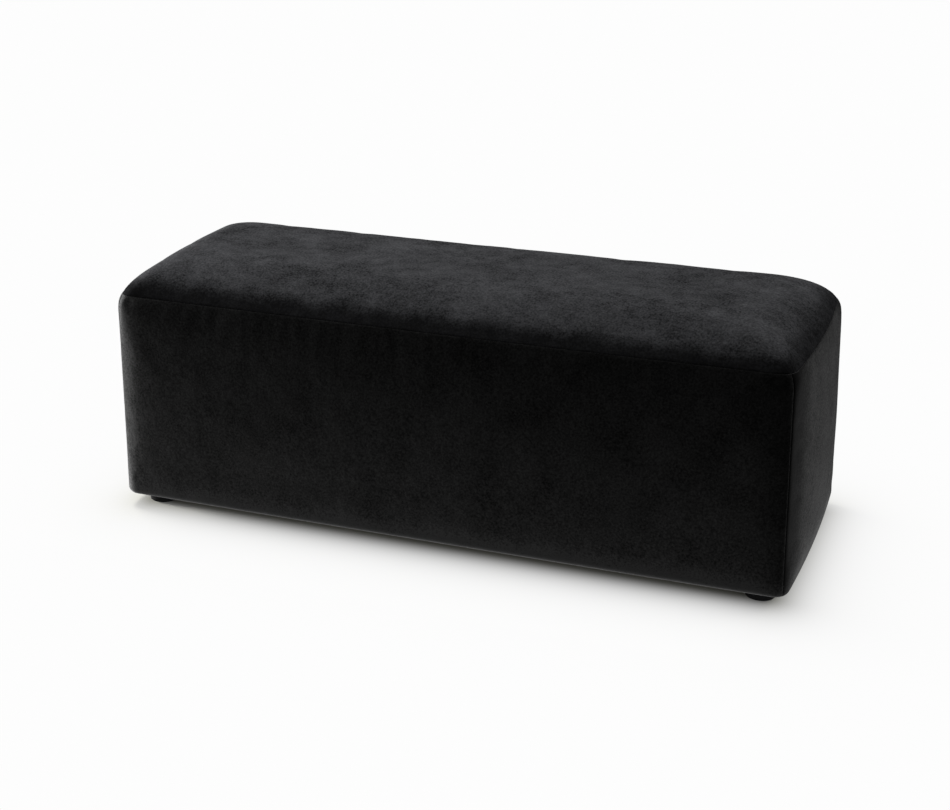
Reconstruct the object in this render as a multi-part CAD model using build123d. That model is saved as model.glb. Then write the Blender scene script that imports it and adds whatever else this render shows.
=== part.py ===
"""A long upholstered bench: a padded timber box, covered in velvet, on four low round feet.

All sizes are in millimetres. X runs along the bench, Y across it with the front at -Y, and Z up from the floor.
The origin lies on the floor under the middle of the bench.
"""

import math
import os

from build123d import *

# The covered block, measured over the velvet
bench_height = 450
cover_length = 1180  # between the end walls' upright edges, where the seat's rounding starts
cover_width = 410
wall_flare = 9  # how much further out each wall stands at its foot
wall_belly = 9  # how far a long wall swells at mid height, between its upright edges
wall_bow = 1.5  # and at its foot and its top
end_belly = 10
end_bow = 5
upright_edge_radius = 10
seat_rounding_inset = 96  # how far the seat's rounded edge reaches in over the seat
seat_rounding_drop = 75  # how far it falls
seat_crown = 4  # rise from the rounded edge to the flat of the seat
seat_crown_run = 45
seat_corner_radius = 64  # in plan, where the rounding ends
top_seam_drop = 53  # from the seat's highest point down to the top panel's seam
hem_edge_radius = 3

# Cover and padding
velvet_thickness = 1.5
wadding_thickness = 5
side_foam_thickness = 14
seat_foam_thickness = 80
hem_width = 60  # turned under the box, from the foot of the walls
dust_cover_thickness = 0.6
dust_cover_margin = 34  # from the foot of the walls to the dust cover's edge
dust_cover_corner_radius = 12

# Timber
board_thickness = 12
deck_thickness = 15
post_size = 42
rail_width = 40
rail_thickness = 20
partition_thickness = 12

# Feet
foot_diameter = 50
foot_height = 21.5
foot_taper = 1.5  # how much smaller the radius is at the lower rim
foot_rim_radius = 4
foot_inset = 50  # from the foot of the walls to the foot's middle
pad_diameter = 38
pad_thickness = 2.5
foot_bore_depth = 13
foot_bore_diameter = 12

# Fasteners
fit_clearance = 0.1  # round each shank, leg and head
foot_screw_diameter = 5
foot_screw_length = 40
foot_screw_head_diameter = 10
foot_screw_head_height = 3.5
wood_screw_diameter = 4
wood_screw_length = 40
wood_screw_head_diameter = 8
wood_screw_head_height = 3
frame_screw_edge = 60  # from the ends of a post to its outer screws
frame_screw_stagger = 16  # between the screws that cross in a post
staple_width = 10
staple_wire = 1
staple_leg = 8
staple_pitch = 70
staple_edge = 14  # from the dust cover's edge to the staples
staple_foot_gap = 10  # from a foot to the nearest staple

# Shape of the block between its named sizes
wall_section_shares = (0, 0.25, 0.5, 0.75, 1)
rounding_sections = 6
least_edge_radius_share = 0.3  # of the upright edge's radius, kept by the inner layers
partition_place_share = 1 / 3  # of the half length inside the box

# Heights and half sizes that follow
padding_thickness = velvet_thickness + wadding_thickness
foot_top = pad_thickness + foot_height
cover_bottom = foot_top + dust_cover_thickness
frame_bottom = cover_bottom + velvet_thickness
wall_top = bench_height - seat_crown - seat_rounding_drop
seam_height = bench_height - top_seam_drop
deck_top = bench_height - padding_thickness - seat_foam_thickness
deck_bottom = deck_top - deck_thickness
cover_half_length = cover_length / 2
cover_half_width = cover_width / 2
box_half_length = cover_half_length - padding_thickness - side_foam_thickness
box_half_width = cover_half_width - padding_thickness - side_foam_thickness
inner_half_length = box_half_length - board_thickness
inner_half_width = box_half_width - board_thickness
foot_half_length = cover_half_length + wall_flare
foot_half_width = cover_half_width + wall_flare
foot_x = foot_half_length - foot_inset
foot_y = foot_half_width - foot_inset
partition_x = partition_place_share * inner_half_length
overrun = bench_height  # past whatever is cut or split

corners = {
    "front_left": (-1, -1),
    "front_right": (1, -1),
    "back_left": (-1, 1),
    "back_right": (1, 1),
}
wall_names = {"front": "front", "back": "back", "left": "left_end", "right": "right_end"}


def block_between(low, high):
    """A block from its lowest corner to its highest corner."""
    sizes = [top - bottom for bottom, top in zip(low, high)]
    return Pos(*low) * Box(*sizes, align=(Align.MIN, Align.MIN, Align.MIN))


def centred_block(half_length, half_width, low, high):
    """A block centred on the bench's middle, between two heights."""
    return block_between((-half_length, -half_width, low), (half_length, half_width, high))


def post(radius, low, high, x=0, y=0):
    """An upright cylinder between two heights."""
    return Pos(x, y, low) * Cylinder(radius, high - low, align=(Align.CENTER, Align.CENTER, Align.MIN))


def outline(half_length, half_width, radius, long_belly, short_belly, height):
    """One level of the padded block: four swollen sides between four rounded corners."""
    side_x = half_length - radius
    side_y = half_width - radius
    lean = radius * (1 - math.sqrt(0.5))
    middle_x = half_length - lean
    middle_y = half_width - lean
    edges = [
        ThreePointArc((-side_x, -half_width), (0, -half_width - long_belly), (side_x, -half_width)),
        ThreePointArc((side_x, -half_width), (middle_x, -middle_y), (half_length, -side_y)),
        ThreePointArc((half_length, -side_y), (half_length + short_belly, 0), (half_length, side_y)),
        ThreePointArc((half_length, side_y), (middle_x, middle_y), (side_x, half_width)),
        ThreePointArc((side_x, half_width), (0, half_width + long_belly), (-side_x, half_width)),
        ThreePointArc((-side_x, half_width), (-middle_x, middle_y), (-half_length, side_y)),
        ThreePointArc((-half_length, side_y), (-half_length - short_belly, 0), (-half_length, -side_y)),
        ThreePointArc((-half_length, -side_y), (-middle_x, -middle_y), (-side_x, -half_width)),
    ]
    return Pos(0, 0, height) * Wire(edges)


def padded_block(depth, low):
    """The bench's soft outline drawn in by a depth, from a low level up to the flat of the seat.

    The walls flare towards the floor and swell at mid height. Above them the seat's edge rounds over in a
    quarter of an ellipse, and a low crown rises from it to the flat of the seat.
    """
    edge_radius = max(upright_edge_radius - depth, least_edge_radius_share * upright_edge_radius)
    inset_reach = seat_rounding_inset - depth
    drop = seat_rounding_drop - depth
    levels = []
    for share in wall_section_shares:
        height = low + share * (wall_top - low)
        flare = wall_flare * (wall_top - height) / (wall_top - foot_top)
        levels.append((height, -flare, edge_radius))
    for step in range(1, rounding_sections + 1):
        turn = math.radians(90 * step / rounding_sections)
        inset = inset_reach * (1 - math.cos(turn))
        radius = edge_radius + (seat_corner_radius - edge_radius) * inset / inset_reach
        levels.append((wall_top + drop * math.sin(turn), inset, radius))
    flat_radius = max(seat_corner_radius - seat_crown_run, least_edge_radius_share * seat_corner_radius)
    levels.append((bench_height - depth, inset_reach + seat_crown_run, flat_radius))
    wires = []
    for height, inset, radius in levels:
        rise_share = (height - foot_top) / (bench_height - foot_top)
        swell_share = math.sin(math.pi * rise_share)
        wires.append(
            outline(
                cover_half_length - depth - inset,
                cover_half_width - depth - inset,
                radius,
                wall_bow + (wall_belly - wall_bow) * swell_share,
                end_bow + (end_belly - end_bow) * swell_share,
                height,
            )
        )
    walls = Solid.make_loft(wires[: len(wall_section_shares)])
    seat = Solid.make_loft(wires[len(wall_section_shares) - 1 :])
    return walls + seat


def wall_region(side, low, high):
    """One wall's share of the bench between two heights, parted from its neighbours at the mitred corners."""
    far_x = cover_half_length + overrun
    far_y = cover_half_width + overrun
    ridge = cover_half_length - cover_half_width
    plans = {
        "front": ((-far_x, -far_y), (far_x, -far_y), (ridge, 0), (-ridge, 0)),
        "back": ((far_x, far_y), (-far_x, far_y), (-ridge, 0), (ridge, 0)),
        "left": ((-far_x, far_y), (-far_x, -far_y), (-ridge, 0)),
        "right": ((far_x, -far_y), (far_x, far_y), (ridge, 0)),
    }
    return Pos(0, 0, low) * extrude(make_face(Polyline(*plans[side], close=True)), high - low)


def screw(length, head_diameter, diameter, head_height, grow=0):
    """A countersunk wood screw that points down, its head's top at zero; grow widens it to make its hole."""
    radius = diameter / 2 + grow
    profile = Polyline(
        (0, 0),
        (head_diameter / 2 + grow, 0),
        (radius, -head_height),
        (radius, -length - grow),
        (0, -length - grow),
        close=True,
    )
    return revolve(Plane.XZ * make_face(profile), Axis.Z)


def wood_screw(grow=0):
    """A screw that holds boards and deck to the posts."""
    return screw(wood_screw_length, wood_screw_head_diameter, wood_screw_diameter, wood_screw_head_height, grow)


def post_middle(corner):
    """Where a corner post's middle lies in plan."""
    side_x, side_y = corners[corner]
    return side_x * (inner_half_length - post_size / 2), side_y * (inner_half_width - post_size / 2)


def deck_screws(grow=0):
    """Screws down through the deck: one into each post and two into each partition."""
    places = [post_middle(corner) for corner in corners]
    for side_x in (-1, 1):
        for side_y in (-1, 1):
            places.append((side_x * partition_x, side_y * inner_half_width / 2))
    return [Pos(x, y, deck_top) * wood_screw(grow) for x, y in places]


def frame_screws(grow=0):
    """Screws through the four boards into the posts, staggered where they cross inside a post."""
    low = frame_bottom + frame_screw_edge
    high = deck_bottom - frame_screw_edge
    screws = []
    for corner, (side_x, side_y) in corners.items():
        x, y = post_middle(corner)
        for height in (low, high):
            turned = Rot(-90 * side_y, 0, 0) * wood_screw(grow)
            screws.append(Pos(x, side_y * box_half_width, height) * turned)
        for height in (low + frame_screw_stagger, high - frame_screw_stagger):
            turned = Rot(0, 90 * side_x, 0) * wood_screw(grow)
            screws.append(Pos(side_x * box_half_length, y, height) * turned)
    return screws


def foot_screws(grow=0):
    """Round-headed screws up through the feet into the posts."""
    ledge = pad_thickness + foot_bore_depth
    screws = []
    for side_x, side_y in corners.values():
        x, y = side_x * foot_x, side_y * foot_y
        head = post(foot_screw_head_diameter / 2, ledge - foot_screw_head_height, ledge, x, y)
        shank = post(foot_screw_diameter / 2 + grow, ledge, ledge + foot_screw_length + grow, x, y)
        screws.append(shank if grow else head + shank)
    return screws


def staple(grow=0):
    """A staple driven upwards, its crown along X with its top at zero; grown, only the holes of its legs."""
    half = staple_width / 2
    legs = []
    for side in (-1, 1):
        inner, outer = half - staple_wire - grow, half + grow
        near, far = sorted((side * inner, side * outer))
        low = (near, -staple_wire / 2 - grow, -staple_wire)
        legs.append(block_between(low, (far, staple_wire / 2 + grow, staple_leg + grow)))
    if grow:
        return legs[0] + legs[1]
    crown = block_between((-half, -staple_wire / 2, -staple_wire), (half, staple_wire / 2, 0))
    return crown + legs[0] + legs[1]


def staple_row(side, grow=0):
    """The staples along one side of the dust cover, evenly spaced between the two feet."""
    along_x = side in ("front", "back")
    sign = 1 if side in ("back", "right") else -1
    reach = (foot_x if along_x else foot_y) - foot_diameter / 2 - staple_foot_gap - staple_width / 2
    line = (foot_half_width if along_x else foot_half_length) - dust_cover_margin - staple_edge
    gaps = max(1, round(2 * reach / staple_pitch))
    row = []
    for step in range(gaps + 1):
        place = reach * (2 * step / gaps - 1)
        if along_x:
            row.append(Pos(place, sign * line, foot_top) * staple(grow))
        else:
            row.append(Pos(sign * line, place, foot_top) * Rot(0, 0, 90) * staple(grow))
    return row


def make_velvet():
    """The velvet cover: a top panel sewn to four wall panels, whose hems turn under the box."""
    outer = padded_block(0, cover_bottom)
    outer = fillet(outer.faces().sort_by(Axis.Z)[0].edges(), hem_edge_radius)
    window = centred_block(foot_half_length - hem_width, foot_half_width - hem_width, 0, frame_bottom)
    cover = outer - padded_block(velvet_thickness, frame_bottom) - window
    far = foot_half_length + overrun
    pieces = {"velvet_top_panel": cover & centred_block(far, far, seam_height, bench_height + overrun)}
    holes = foot_screws(fit_clearance)
    for side, name in wall_names.items():
        panel = cover & wall_region(side, 0, seam_height)
        pieces[f"velvet_{name}_panel"] = panel - (holes + staple_row(side, fit_clearance))
    return pieces


def make_padding():
    """Wadding over the seat and round the walls, the seat foam, and a foam pad on each wall."""
    far = foot_half_length + overrun
    above = centred_block(far, far, deck_top, bench_height + overrun)
    below = centred_block(far, far, 0, deck_top)
    foam = padded_block(padding_thickness, frame_bottom)
    wadding = padded_block(velvet_thickness, frame_bottom) - foam
    box = centred_block(box_half_length, box_half_width, 0, deck_top)
    pieces = {
        "seat_wadding": wadding & above,
        "wall_wadding": wadding & below,
        "seat_foam": foam & above,
    }
    wall_foam = foam - box
    for side, name in wall_names.items():
        pieces[f"{name}_foam_pad"] = wall_foam & wall_region(side, 0, deck_top)
    return pieces


def make_box():
    """The timber box: four boards round four posts, base rails, two partitions and the deck."""
    pieces = {}
    board_holes = frame_screws(fit_clearance)
    deck_holes = deck_screws(fit_clearance)
    rail_top = frame_bottom + rail_thickness
    for side, sign in (("front", -1), ("back", 1)):
        near, far = sorted((sign * inner_half_width, sign * box_half_width))
        board = block_between((-box_half_length, near, frame_bottom), (box_half_length, far, deck_bottom))
        pieces[f"{side}_board"] = board - board_holes
        reach = inner_half_length - post_size
        near, far = sorted((sign * inner_half_width, sign * (inner_half_width - rail_width)))
        rail = block_between((-reach, near, frame_bottom), (reach, far, rail_top))
        pieces[f"{side}_base_rail"] = rail - staple_row(side, fit_clearance)
    for side, sign in (("left", -1), ("right", 1)):
        near, far = sorted((sign * inner_half_length, sign * box_half_length))
        board = block_between((near, -inner_half_width, frame_bottom), (far, inner_half_width, deck_bottom))
        pieces[f"{side}_end_board"] = board - board_holes
        reach = inner_half_width - post_size
        near, far = sorted((sign * inner_half_length, sign * (inner_half_length - rail_width)))
        rail = block_between((near, -reach, frame_bottom), (far, reach, rail_top))
        pieces[f"{side}_end_base_rail"] = rail - staple_row(side, fit_clearance)
        near, far = sign * partition_x - partition_thickness / 2, sign * partition_x + partition_thickness / 2
        partition = block_between((near, -inner_half_width, rail_top), (far, inner_half_width, deck_bottom))
        pieces[f"{side}_partition"] = partition - deck_holes
    for corner, (side_x, side_y) in corners.items():
        x, y = post_middle(corner)
        reach = post_size / 2
        low = (x - reach, y - reach, frame_bottom)
        block = block_between(low, (x + reach, y + reach, deck_bottom))
        pieces[f"corner_post_{corner}"] = block - (board_holes + deck_holes + foot_screws(fit_clearance))
    deck = centred_block(box_half_length, box_half_width, deck_bottom, deck_top)
    pieces["seat_deck"] = deck - deck_holes
    return pieces


def make_dust_cover():
    """The thin cloth under the box, over the hems, with holes for the feet's screws and the staples."""
    half_length = foot_half_length - dust_cover_margin
    half_width = foot_half_width - dust_cover_margin
    sheet = extrude(RectangleRounded(2 * half_length, 2 * half_width, dust_cover_corner_radius), dust_cover_thickness)
    holes = foot_screws(fit_clearance)
    for side in wall_names:
        holes += staple_row(side, fit_clearance)
    return {"dust_cover": Pos(0, 0, foot_top) * sheet - holes}


def make_feet():
    """Four low round feet, each with a bore for its screw's head and a felt pad over the bore."""
    radius = foot_diameter / 2
    profile = Polyline(
        (0, pad_thickness),
        (radius - foot_taper, pad_thickness),
        (radius, foot_top),
        (0, foot_top),
        close=True,
    )
    blank = revolve(Plane.XZ * make_face(profile), Axis.Z)
    blank = fillet(blank.faces().sort_by(Axis.Z)[0].edges(), foot_rim_radius)
    blank -= post(foot_bore_diameter / 2, 0, pad_thickness + foot_bore_depth)
    blank -= post(foot_screw_diameter / 2 + fit_clearance, 0, foot_top + overrun)
    pieces = {}
    for corner, (side_x, side_y) in corners.items():
        place = Pos(side_x * foot_x, side_y * foot_y, 0)
        pieces[f"foot_{corner}"] = place * blank
        pieces[f"felt_pad_{corner}"] = place * post(pad_diameter / 2, 0, pad_thickness)
    return pieces


def make_fasteners():
    """Each kind of screw, and the staples, as one group of separate solids."""
    staples = []
    for side in wall_names:
        staples += staple_row(side)
    return {
        "foot_screws": Compound(foot_screws()),
        "deck_screws": Compound(deck_screws()),
        "frame_screws": Compound(frame_screws()),
        "dust_cover_staples": Compound(staples),
    }


os.makedirs("parts", exist_ok=True)
for make in (make_velvet, make_padding, make_box, make_dust_cover, make_feet, make_fasteners):
    for name, piece in make().items():
        export_step(piece, f"parts/{name}.step")
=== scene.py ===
"""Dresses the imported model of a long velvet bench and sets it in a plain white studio.

The velvet cover, the padding under it, the dust cover and the feet are new surfaces worked out with numpy.
The timber, the felt pads and the fasteners stay as the frame's own pieces and get their materials here.
Everything is in metres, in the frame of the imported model: X along the bench, the front at -Y, Z up from the
floor.
"""

import logging
import math
from collections.abc import Callable
from dataclasses import dataclass, field
from enum import Enum
from functools import partial
from typing import Any

import bpy
import numpy as np
from mathutils import Matrix, Vector


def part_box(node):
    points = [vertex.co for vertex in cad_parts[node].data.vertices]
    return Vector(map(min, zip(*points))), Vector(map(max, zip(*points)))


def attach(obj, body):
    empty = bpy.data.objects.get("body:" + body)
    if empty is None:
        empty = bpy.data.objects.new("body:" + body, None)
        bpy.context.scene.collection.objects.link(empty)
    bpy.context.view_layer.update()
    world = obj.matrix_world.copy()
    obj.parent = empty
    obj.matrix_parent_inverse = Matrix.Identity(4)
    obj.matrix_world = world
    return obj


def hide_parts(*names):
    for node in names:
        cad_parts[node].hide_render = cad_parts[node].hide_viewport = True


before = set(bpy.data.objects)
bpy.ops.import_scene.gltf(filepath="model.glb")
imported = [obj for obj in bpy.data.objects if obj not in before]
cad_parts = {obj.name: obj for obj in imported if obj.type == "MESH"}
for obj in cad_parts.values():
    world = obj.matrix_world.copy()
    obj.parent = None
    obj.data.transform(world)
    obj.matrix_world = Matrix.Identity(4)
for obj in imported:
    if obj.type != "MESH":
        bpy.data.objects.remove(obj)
log = logging.getLogger("velvet_bench")

Array = np.ndarray
Skin = tuple[np.ndarray, list[np.ndarray]]
Colour = tuple[float, float, float]
Triple = tuple[float, float, float]
Material = bpy.types.Material
MM = 0.001
QUARTER_TURN = np.pi / 2.0


class Wall(Enum):
    """The four walls, in the order in which they follow each other round the bench."""

    FRONT = "front"
    RIGHT = "right_end"
    BACK = "back"
    LEFT = "left_end"

    @property
    def is_long(self) -> bool:
        """True for the two walls that run along the bench."""
        return self in (Wall.FRONT, Wall.BACK)

    def place(self, along: Array, off: Array) -> tuple[Array, Array]:
        """Turns a place along the wall and its distance from the bench's middle into X and Y.

        Args:
            along: How far along the wall, to the right of one who faces it.
            off: How far out from the middle of the bench.

        Returns:
            The X and the Y of each place.
        """
        return {
            Wall.FRONT: (along, -off),
            Wall.RIGHT: (off, along),
            Wall.BACK: (-along, off),
            Wall.LEFT: (-off, -along),
        }[self]


class Nap(Enum):
    """Which way the velvet's pile was brushed, as the stretch of its pattern along each axis."""

    ALONG_SEAT = (1.0, 1.25, 1.25)
    DOWN_WALL = (1.2, 1.2, 1.0)


class Value:
    """A shader value that takes part in plain arithmetic; each operation adds one Math node."""

    def __init__(self, graph: "Graph", socket: bpy.types.NodeSocket) -> None:
        """Wraps one output socket of a graph."""
        self.graph = graph
        self.socket = socket

    def _with(self, operation: str, first: Any, second: Any) -> "Value":
        """Adds a Math node over two values or numbers."""
        return self.graph.maths(operation, first, second)

    def __add__(self, other: Any) -> "Value":
        """This value plus another."""
        return self._with("ADD", self, other)

    def __sub__(self, other: Any) -> "Value":
        """This value less another."""
        return self._with("SUBTRACT", self, other)

    def __rsub__(self, other: Any) -> "Value":
        """Another value less this one."""
        return self._with("SUBTRACT", other, self)

    def __mul__(self, other: Any) -> "Value":
        """This value times another."""
        return self._with("MULTIPLY", self, other)

    __radd__ = __add__
    __rmul__ = __mul__


@dataclass
class Placed:
    """A node that has been added to a graph."""

    graph: "Graph"
    node: bpy.types.Node

    def out(self, name: str | int = 0) -> Value:
        """One of the node's outputs as a value."""
        return Value(self.graph, self.node.outputs[name])


class Graph:
    """The node tree of a material or of the world, built one node at a time."""

    def __init__(self, owner: Material | bpy.types.World) -> None:
        """Empties the owner's node tree.

        Args:
            owner: The material or the world that the nodes belong to.
        """
        self.owner = owner
        owner.use_nodes = True
        self.tree = owner.node_tree
        self.tree.nodes.clear()

    @staticmethod
    def of_material(name: str) -> "Graph":
        """Starts an empty material of that name."""
        return Graph(bpy.data.materials.new(name))

    def node(self, kind: str, settings: dict[str, Any], inputs: dict[str | int, Any]) -> Placed:
        """Adds a node.

        Args:
            kind: The node's type.
            settings: Properties of the node, which are set first.
            inputs: A value, a number, a colour or a vector for each named socket.

        Returns:
            The node, ready to be read from.
        """
        made = self.tree.nodes.new(kind)
        for name, setting in settings.items():
            setattr(made, name, setting)
        for name, given in inputs.items():
            if isinstance(given, Value):
                self.tree.links.new(given.socket, made.inputs[name])
            else:
                made.inputs[name].default_value = given
        return Placed(self, made)

    def maths(self, operation: str, first: Any, second: Any = 0.0) -> Value:
        """One Math node over values or numbers."""
        return self.node("ShaderNodeMath", {"operation": operation}, {0: first, 1: second}).out()

    def object_place(self, scale: Triple = (1.0, 1.0, 1.0)) -> Value:
        """Object coordinates, in metres, stretched along each axis.

        Args:
            scale: How much closer together the pattern lies along each axis.

        Returns:
            The stretched coordinates.
        """
        place = self.node("ShaderNodeTexCoord", {}, {}).out("Object")
        return self.node("ShaderNodeMapping", {}, {"Vector": place, "Scale": scale}).out()

    def noise(self, place: Value, size: float, detail: float, roughness: float) -> Value:
        """Soft noise from 0 to 1.

        Args:
            place: The coordinates it is laid over.
            size: How far apart its patches lie, in metres.
            detail: How many finer layers it has.
            roughness: How strong the finer layers are.

        Returns:
            The noise.
        """
        inputs = {"Vector": place, "Scale": 1.0 / size, "Detail": detail, "Roughness": roughness}
        return self.node("ShaderNodeTexNoise", {}, inputs).out("Fac")

    def blend(self, share: Value, low: Colour, high: Colour) -> Value:
        """A colour between two colours.

        Args:
            share: 0 for the first colour, 1 for the second.
            low: The first colour, as red, green and blue.
            high: The second colour.

        Returns:
            The mixed colour.
        """
        mix = self.node("ShaderNodeMix", {"data_type": "RGBA"}, {})
        sockets = {s.identifier: s for s in (*mix.node.inputs, *mix.node.outputs)}
        sockets["A_Color"].default_value = (*low, 1.0)
        sockets["B_Color"].default_value = (*high, 1.0)
        self.tree.links.new(share.socket, sockets["Factor_Float"])
        return Value(self, sockets["Result_Color"])

    def fading(self, distance: Value, reach: float) -> Value:
        """Falls from 1 with a distance, as exp(-distance / reach)."""
        return self.maths("POWER", math.e, distance * (-1.0 / reach))

    def seen_directly(self) -> Value:
        """Tells what the camera sees from what only lights it.

        Returns:
            1 where the camera looks straight at a place, in a mirror or through glass, and 0 for the light
            on it.
        """
        path = self.node("ShaderNodeLightPath", {}, {})
        rays = path.out("Is Camera Ray") + path.out("Is Glossy Ray") + path.out("Is Transmission Ray")
        return self.maths("MINIMUM", rays, 1.0)

    def between(self, value: Value, low: float, high: float) -> Value:
        """The share of the way that a value has gone from a low to a high number, kept within 0 and 1."""
        inputs = {"Value": value, "From Min": low, "From Max": high, "To Min": 0.0, "To Max": 1.0}
        return self.node("ShaderNodeMapRange", {}, inputs).out()

    def attribute(self, name: str) -> Value:
        """A number stored on the mesh's points."""
        return self.node("ShaderNodeAttribute", {"attribute_name": name}, {}).out("Fac")

    def bump(self, height: Value, reach: float, under: Value | None = None) -> Value:
        """A normal that follows a height.

        Args:
            height: The height, as a share of the reach.
            reach: What a height of 1 stands for, in metres.
            under: The normal that it is added to, if any.

        Returns:
            The bent normal.
        """
        inputs: dict[str | int, Any] = {"Height": height, "Strength": 1.0, "Distance": reach}
        if under is not None:
            inputs["Normal"] = under
        return self.node("ShaderNodeBump", {}, inputs).out()

    def principled(self, **inputs: Any) -> Value:
        """A Principled shader.

        Args:
            inputs: Its sockets' values, with underscores for the spaces in their names.

        Returns:
            The shader's output.
        """
        named: dict[str | int, Any] = {}
        for name, given in inputs.items():
            is_colour = isinstance(given, tuple) and len(given) == 3
            named[name.replace("_", " ")] = (*given, 1.0) if is_colour else given
        return self.node("ShaderNodeBsdfPrincipled", {}, named).out()

    def mixed(self, share: Value, first: Value, second: Value) -> Value:
        """A shader that goes from the first to the second as the share goes from 0 to 1."""
        return self.node("ShaderNodeMixShader", {}, {0: share, 1: first, 2: second}).out()

    def shown(self, shader: Value) -> Material | bpy.types.World:
        """Puts a shader on the surface and gives the finished material."""
        self.node("ShaderNodeOutputMaterial", {}, {"Surface": shader})
        return self.owner

    def surface(self, **inputs: Any) -> Material:
        """Finishes the material with one Principled shader, from its sockets' values."""
        return self.shown(self.principled(**inputs))


@dataclass(frozen=True)
class Velvet:
    """Black velvet: a very dark ground under a short dense pile that lights up along the surface.

    Lying pile shows the ground and standing pile the raised colour. The pattern is the sum of clouds, mottles
    and grain by their weights, and the pile rises over the rising range of it. A painted shade mask on the
    mesh takes some of the pattern away and hushes what is left of the standing pile, as painted shade, and a
    seam darkens the pile close by as painted seam shade; where the mask falls below zero it is a painted
    highlight.
    The sheen swings up where the pile stands and down where it lies. The relief is the depth of clouds,
    mottles and grain.
    """

    nap: Nap
    ground: Colour
    raised: Colour
    sheen: float
    weights: Triple
    sheen_swing: float = 0.5
    # painted shade: how far the painted shade mask lowers the pattern and darkens the standing pile
    shade_mask_drop: float = 0.1
    shade_mask_hush: float = 0.85
    # painted seam shade: how much a seam darkens the standing pile close by, over the seam reach
    seam_painted_shade: float = 0.6
    seam_reach: float = 2.2 * MM
    rising: tuple[float, float] = (0.36, 0.64)
    sheen_roughness: float = 0.5
    cloud_size: float = 85.0 * MM
    mottle_size: float = 22.0 * MM
    pile_size: float = 3.6 * MM
    relief: Triple = (2.4 * MM, 0.35 * MM, 0.36 * MM)

    def material(self) -> Material:
        """Brushed clouds and mottles in the pile, over its fine grain.

        The pile is darker beside a seam, as painted seam shade, and wherever the painted shade mask says, as
        painted shade; where that mask falls below zero it is lighter, as a painted highlight.

        Returns:
            The finished material.
        """
        graph = Graph.of_material(f"velvet_{self.nap.name.lower()}")
        brushed = graph.object_place(self.nap.value)
        plain = graph.object_place()
        clouds = graph.noise(brushed, self.cloud_size, detail=3.0, roughness=0.55)
        mottles = graph.noise(brushed, self.mottle_size, detail=3.0, roughness=0.6)
        pile = graph.noise(plain, self.pile_size, detail=3.0, roughness=0.75)
        # painted seam shade, strongest right at a seam
        near_seam = graph.fading(graph.attribute("seam_distance"), self.seam_reach)
        for_clouds, for_mottles, for_pile = self.weights
        mark = clouds * for_clouds + mottles * for_mottles + pile * for_pile
        # painted shade mask from the mesh; below zero it is a painted highlight
        flat = graph.attribute("painted_shade_mask")
        risen = graph.between(mark - flat * self.shade_mask_drop, *self.rising)
        lift = risen * (1.0 - near_seam * self.seam_painted_shade) * (1.0 - flat * self.shade_mask_hush)
        normal = None
        for height, reach in zip((clouds, mottles, pile), self.relief):
            normal = graph.bump(height, reach, normal)
        common = {"Roughness": 0.9, "Specular_IOR_Level": 0.0, "Normal": normal}
        common["Sheen_Roughness"] = self.sheen_roughness
        low, high = self.sheen * (1.0 - self.sheen_swing), self.sheen * (1.0 + self.sheen_swing)
        lying = graph.principled(Base_Color=self.ground, Sheen_Weight=low, **common)
        standing = graph.principled(Base_Color=self.raised, Sheen_Weight=high, **common)
        return graph.shown(graph.mixed(lift, lying, standing))


@dataclass(frozen=True)
class Plastic:
    """Black moulded plastic with a fine spark texture and a satin skin."""

    colour: Colour = (0.0025, 0.0025, 0.0027)
    worn: Colour = (0.007, 0.007, 0.0075)
    patch: float = 20.0 * MM
    grain: float = 0.7 * MM
    grain_depth: float = 0.06 * MM

    def material(self) -> Material:
        """Uneven gloss over a grain like that of an etched mould.

        Returns:
            The finished material.
        """
        graph = Graph.of_material("moulded_plastic")
        place = graph.object_place()
        patches = graph.noise(place, self.patch, detail=3.0, roughness=0.6)
        grain = graph.noise(place, self.grain, detail=1.0, roughness=0.5)
        return graph.surface(
            Base_Color=graph.blend(patches, self.colour, self.worn),
            Specular_IOR_Level=0.05,
            Roughness=patches * 0.2 + 0.4,
            Normal=graph.bump(grain, self.grain_depth),
        )


@dataclass(frozen=True)
class Felt:
    """Pressed wool felt: matted fibres with no weave."""

    colour: Colour = (0.016, 0.016, 0.016)
    light: Colour = (0.045, 0.044, 0.043)
    fibre: float = 2.2 * MM
    crossed: tuple[Triple, Triple] = ((1.0, 6.0, 3.0), (6.0, 1.0, 3.0))
    depth: float = 0.5 * MM

    def material(self) -> Material:
        """Matted fibres as two crossed layers of stretched noise.

        Returns:
            The finished material.
        """
        graph = Graph.of_material("wool_felt")
        one, other = (
            graph.noise(graph.object_place(stretch), self.fibre, detail=3.0, roughness=0.7)
            for stretch in self.crossed
        )
        fibres = one * 0.5 + other * 0.5
        return graph.surface(
            Base_Color=graph.blend(fibres, self.colour, self.light),
            Roughness=0.95,
            Sheen_Weight=0.2,
            Normal=graph.bump(fibres, self.depth),
        )


@dataclass(frozen=True)
class SpunCloth:
    """Black non-woven cloth: thin bonded fibres with a grid of tiny weld points."""

    colour: Colour = (0.007, 0.007, 0.0075)
    light: Colour = (0.026, 0.026, 0.027)
    fibre: float = 4.0 * MM
    stretch: Triple = (1.0, 3.0, 1.0)
    weld_pitch: float = 1.6 * MM
    weld_depth: float = 0.25 * MM

    def material(self) -> Material:
        """Crossed fibres, pressed down at each weld point.

        Returns:
            The finished material.
        """
        graph = Graph.of_material("spun_cloth")
        place = graph.object_place()
        fibres = graph.noise(graph.object_place(self.stretch), self.fibre, detail=4.0, roughness=0.7)
        welds = graph.node(
            "ShaderNodeTexVoronoi",
            {"feature": "F1"},
            {"Vector": place, "Scale": 1.0 / self.weld_pitch, "Randomness": 0.15},
        ).out("Distance")
        return graph.surface(
            Base_Color=graph.blend(fibres * 0.7 + welds * 0.4, self.colour, self.light),
            Roughness=0.82,
            Normal=graph.bump(welds * 0.6 + fibres * 0.4, self.weld_depth),
        )


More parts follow.
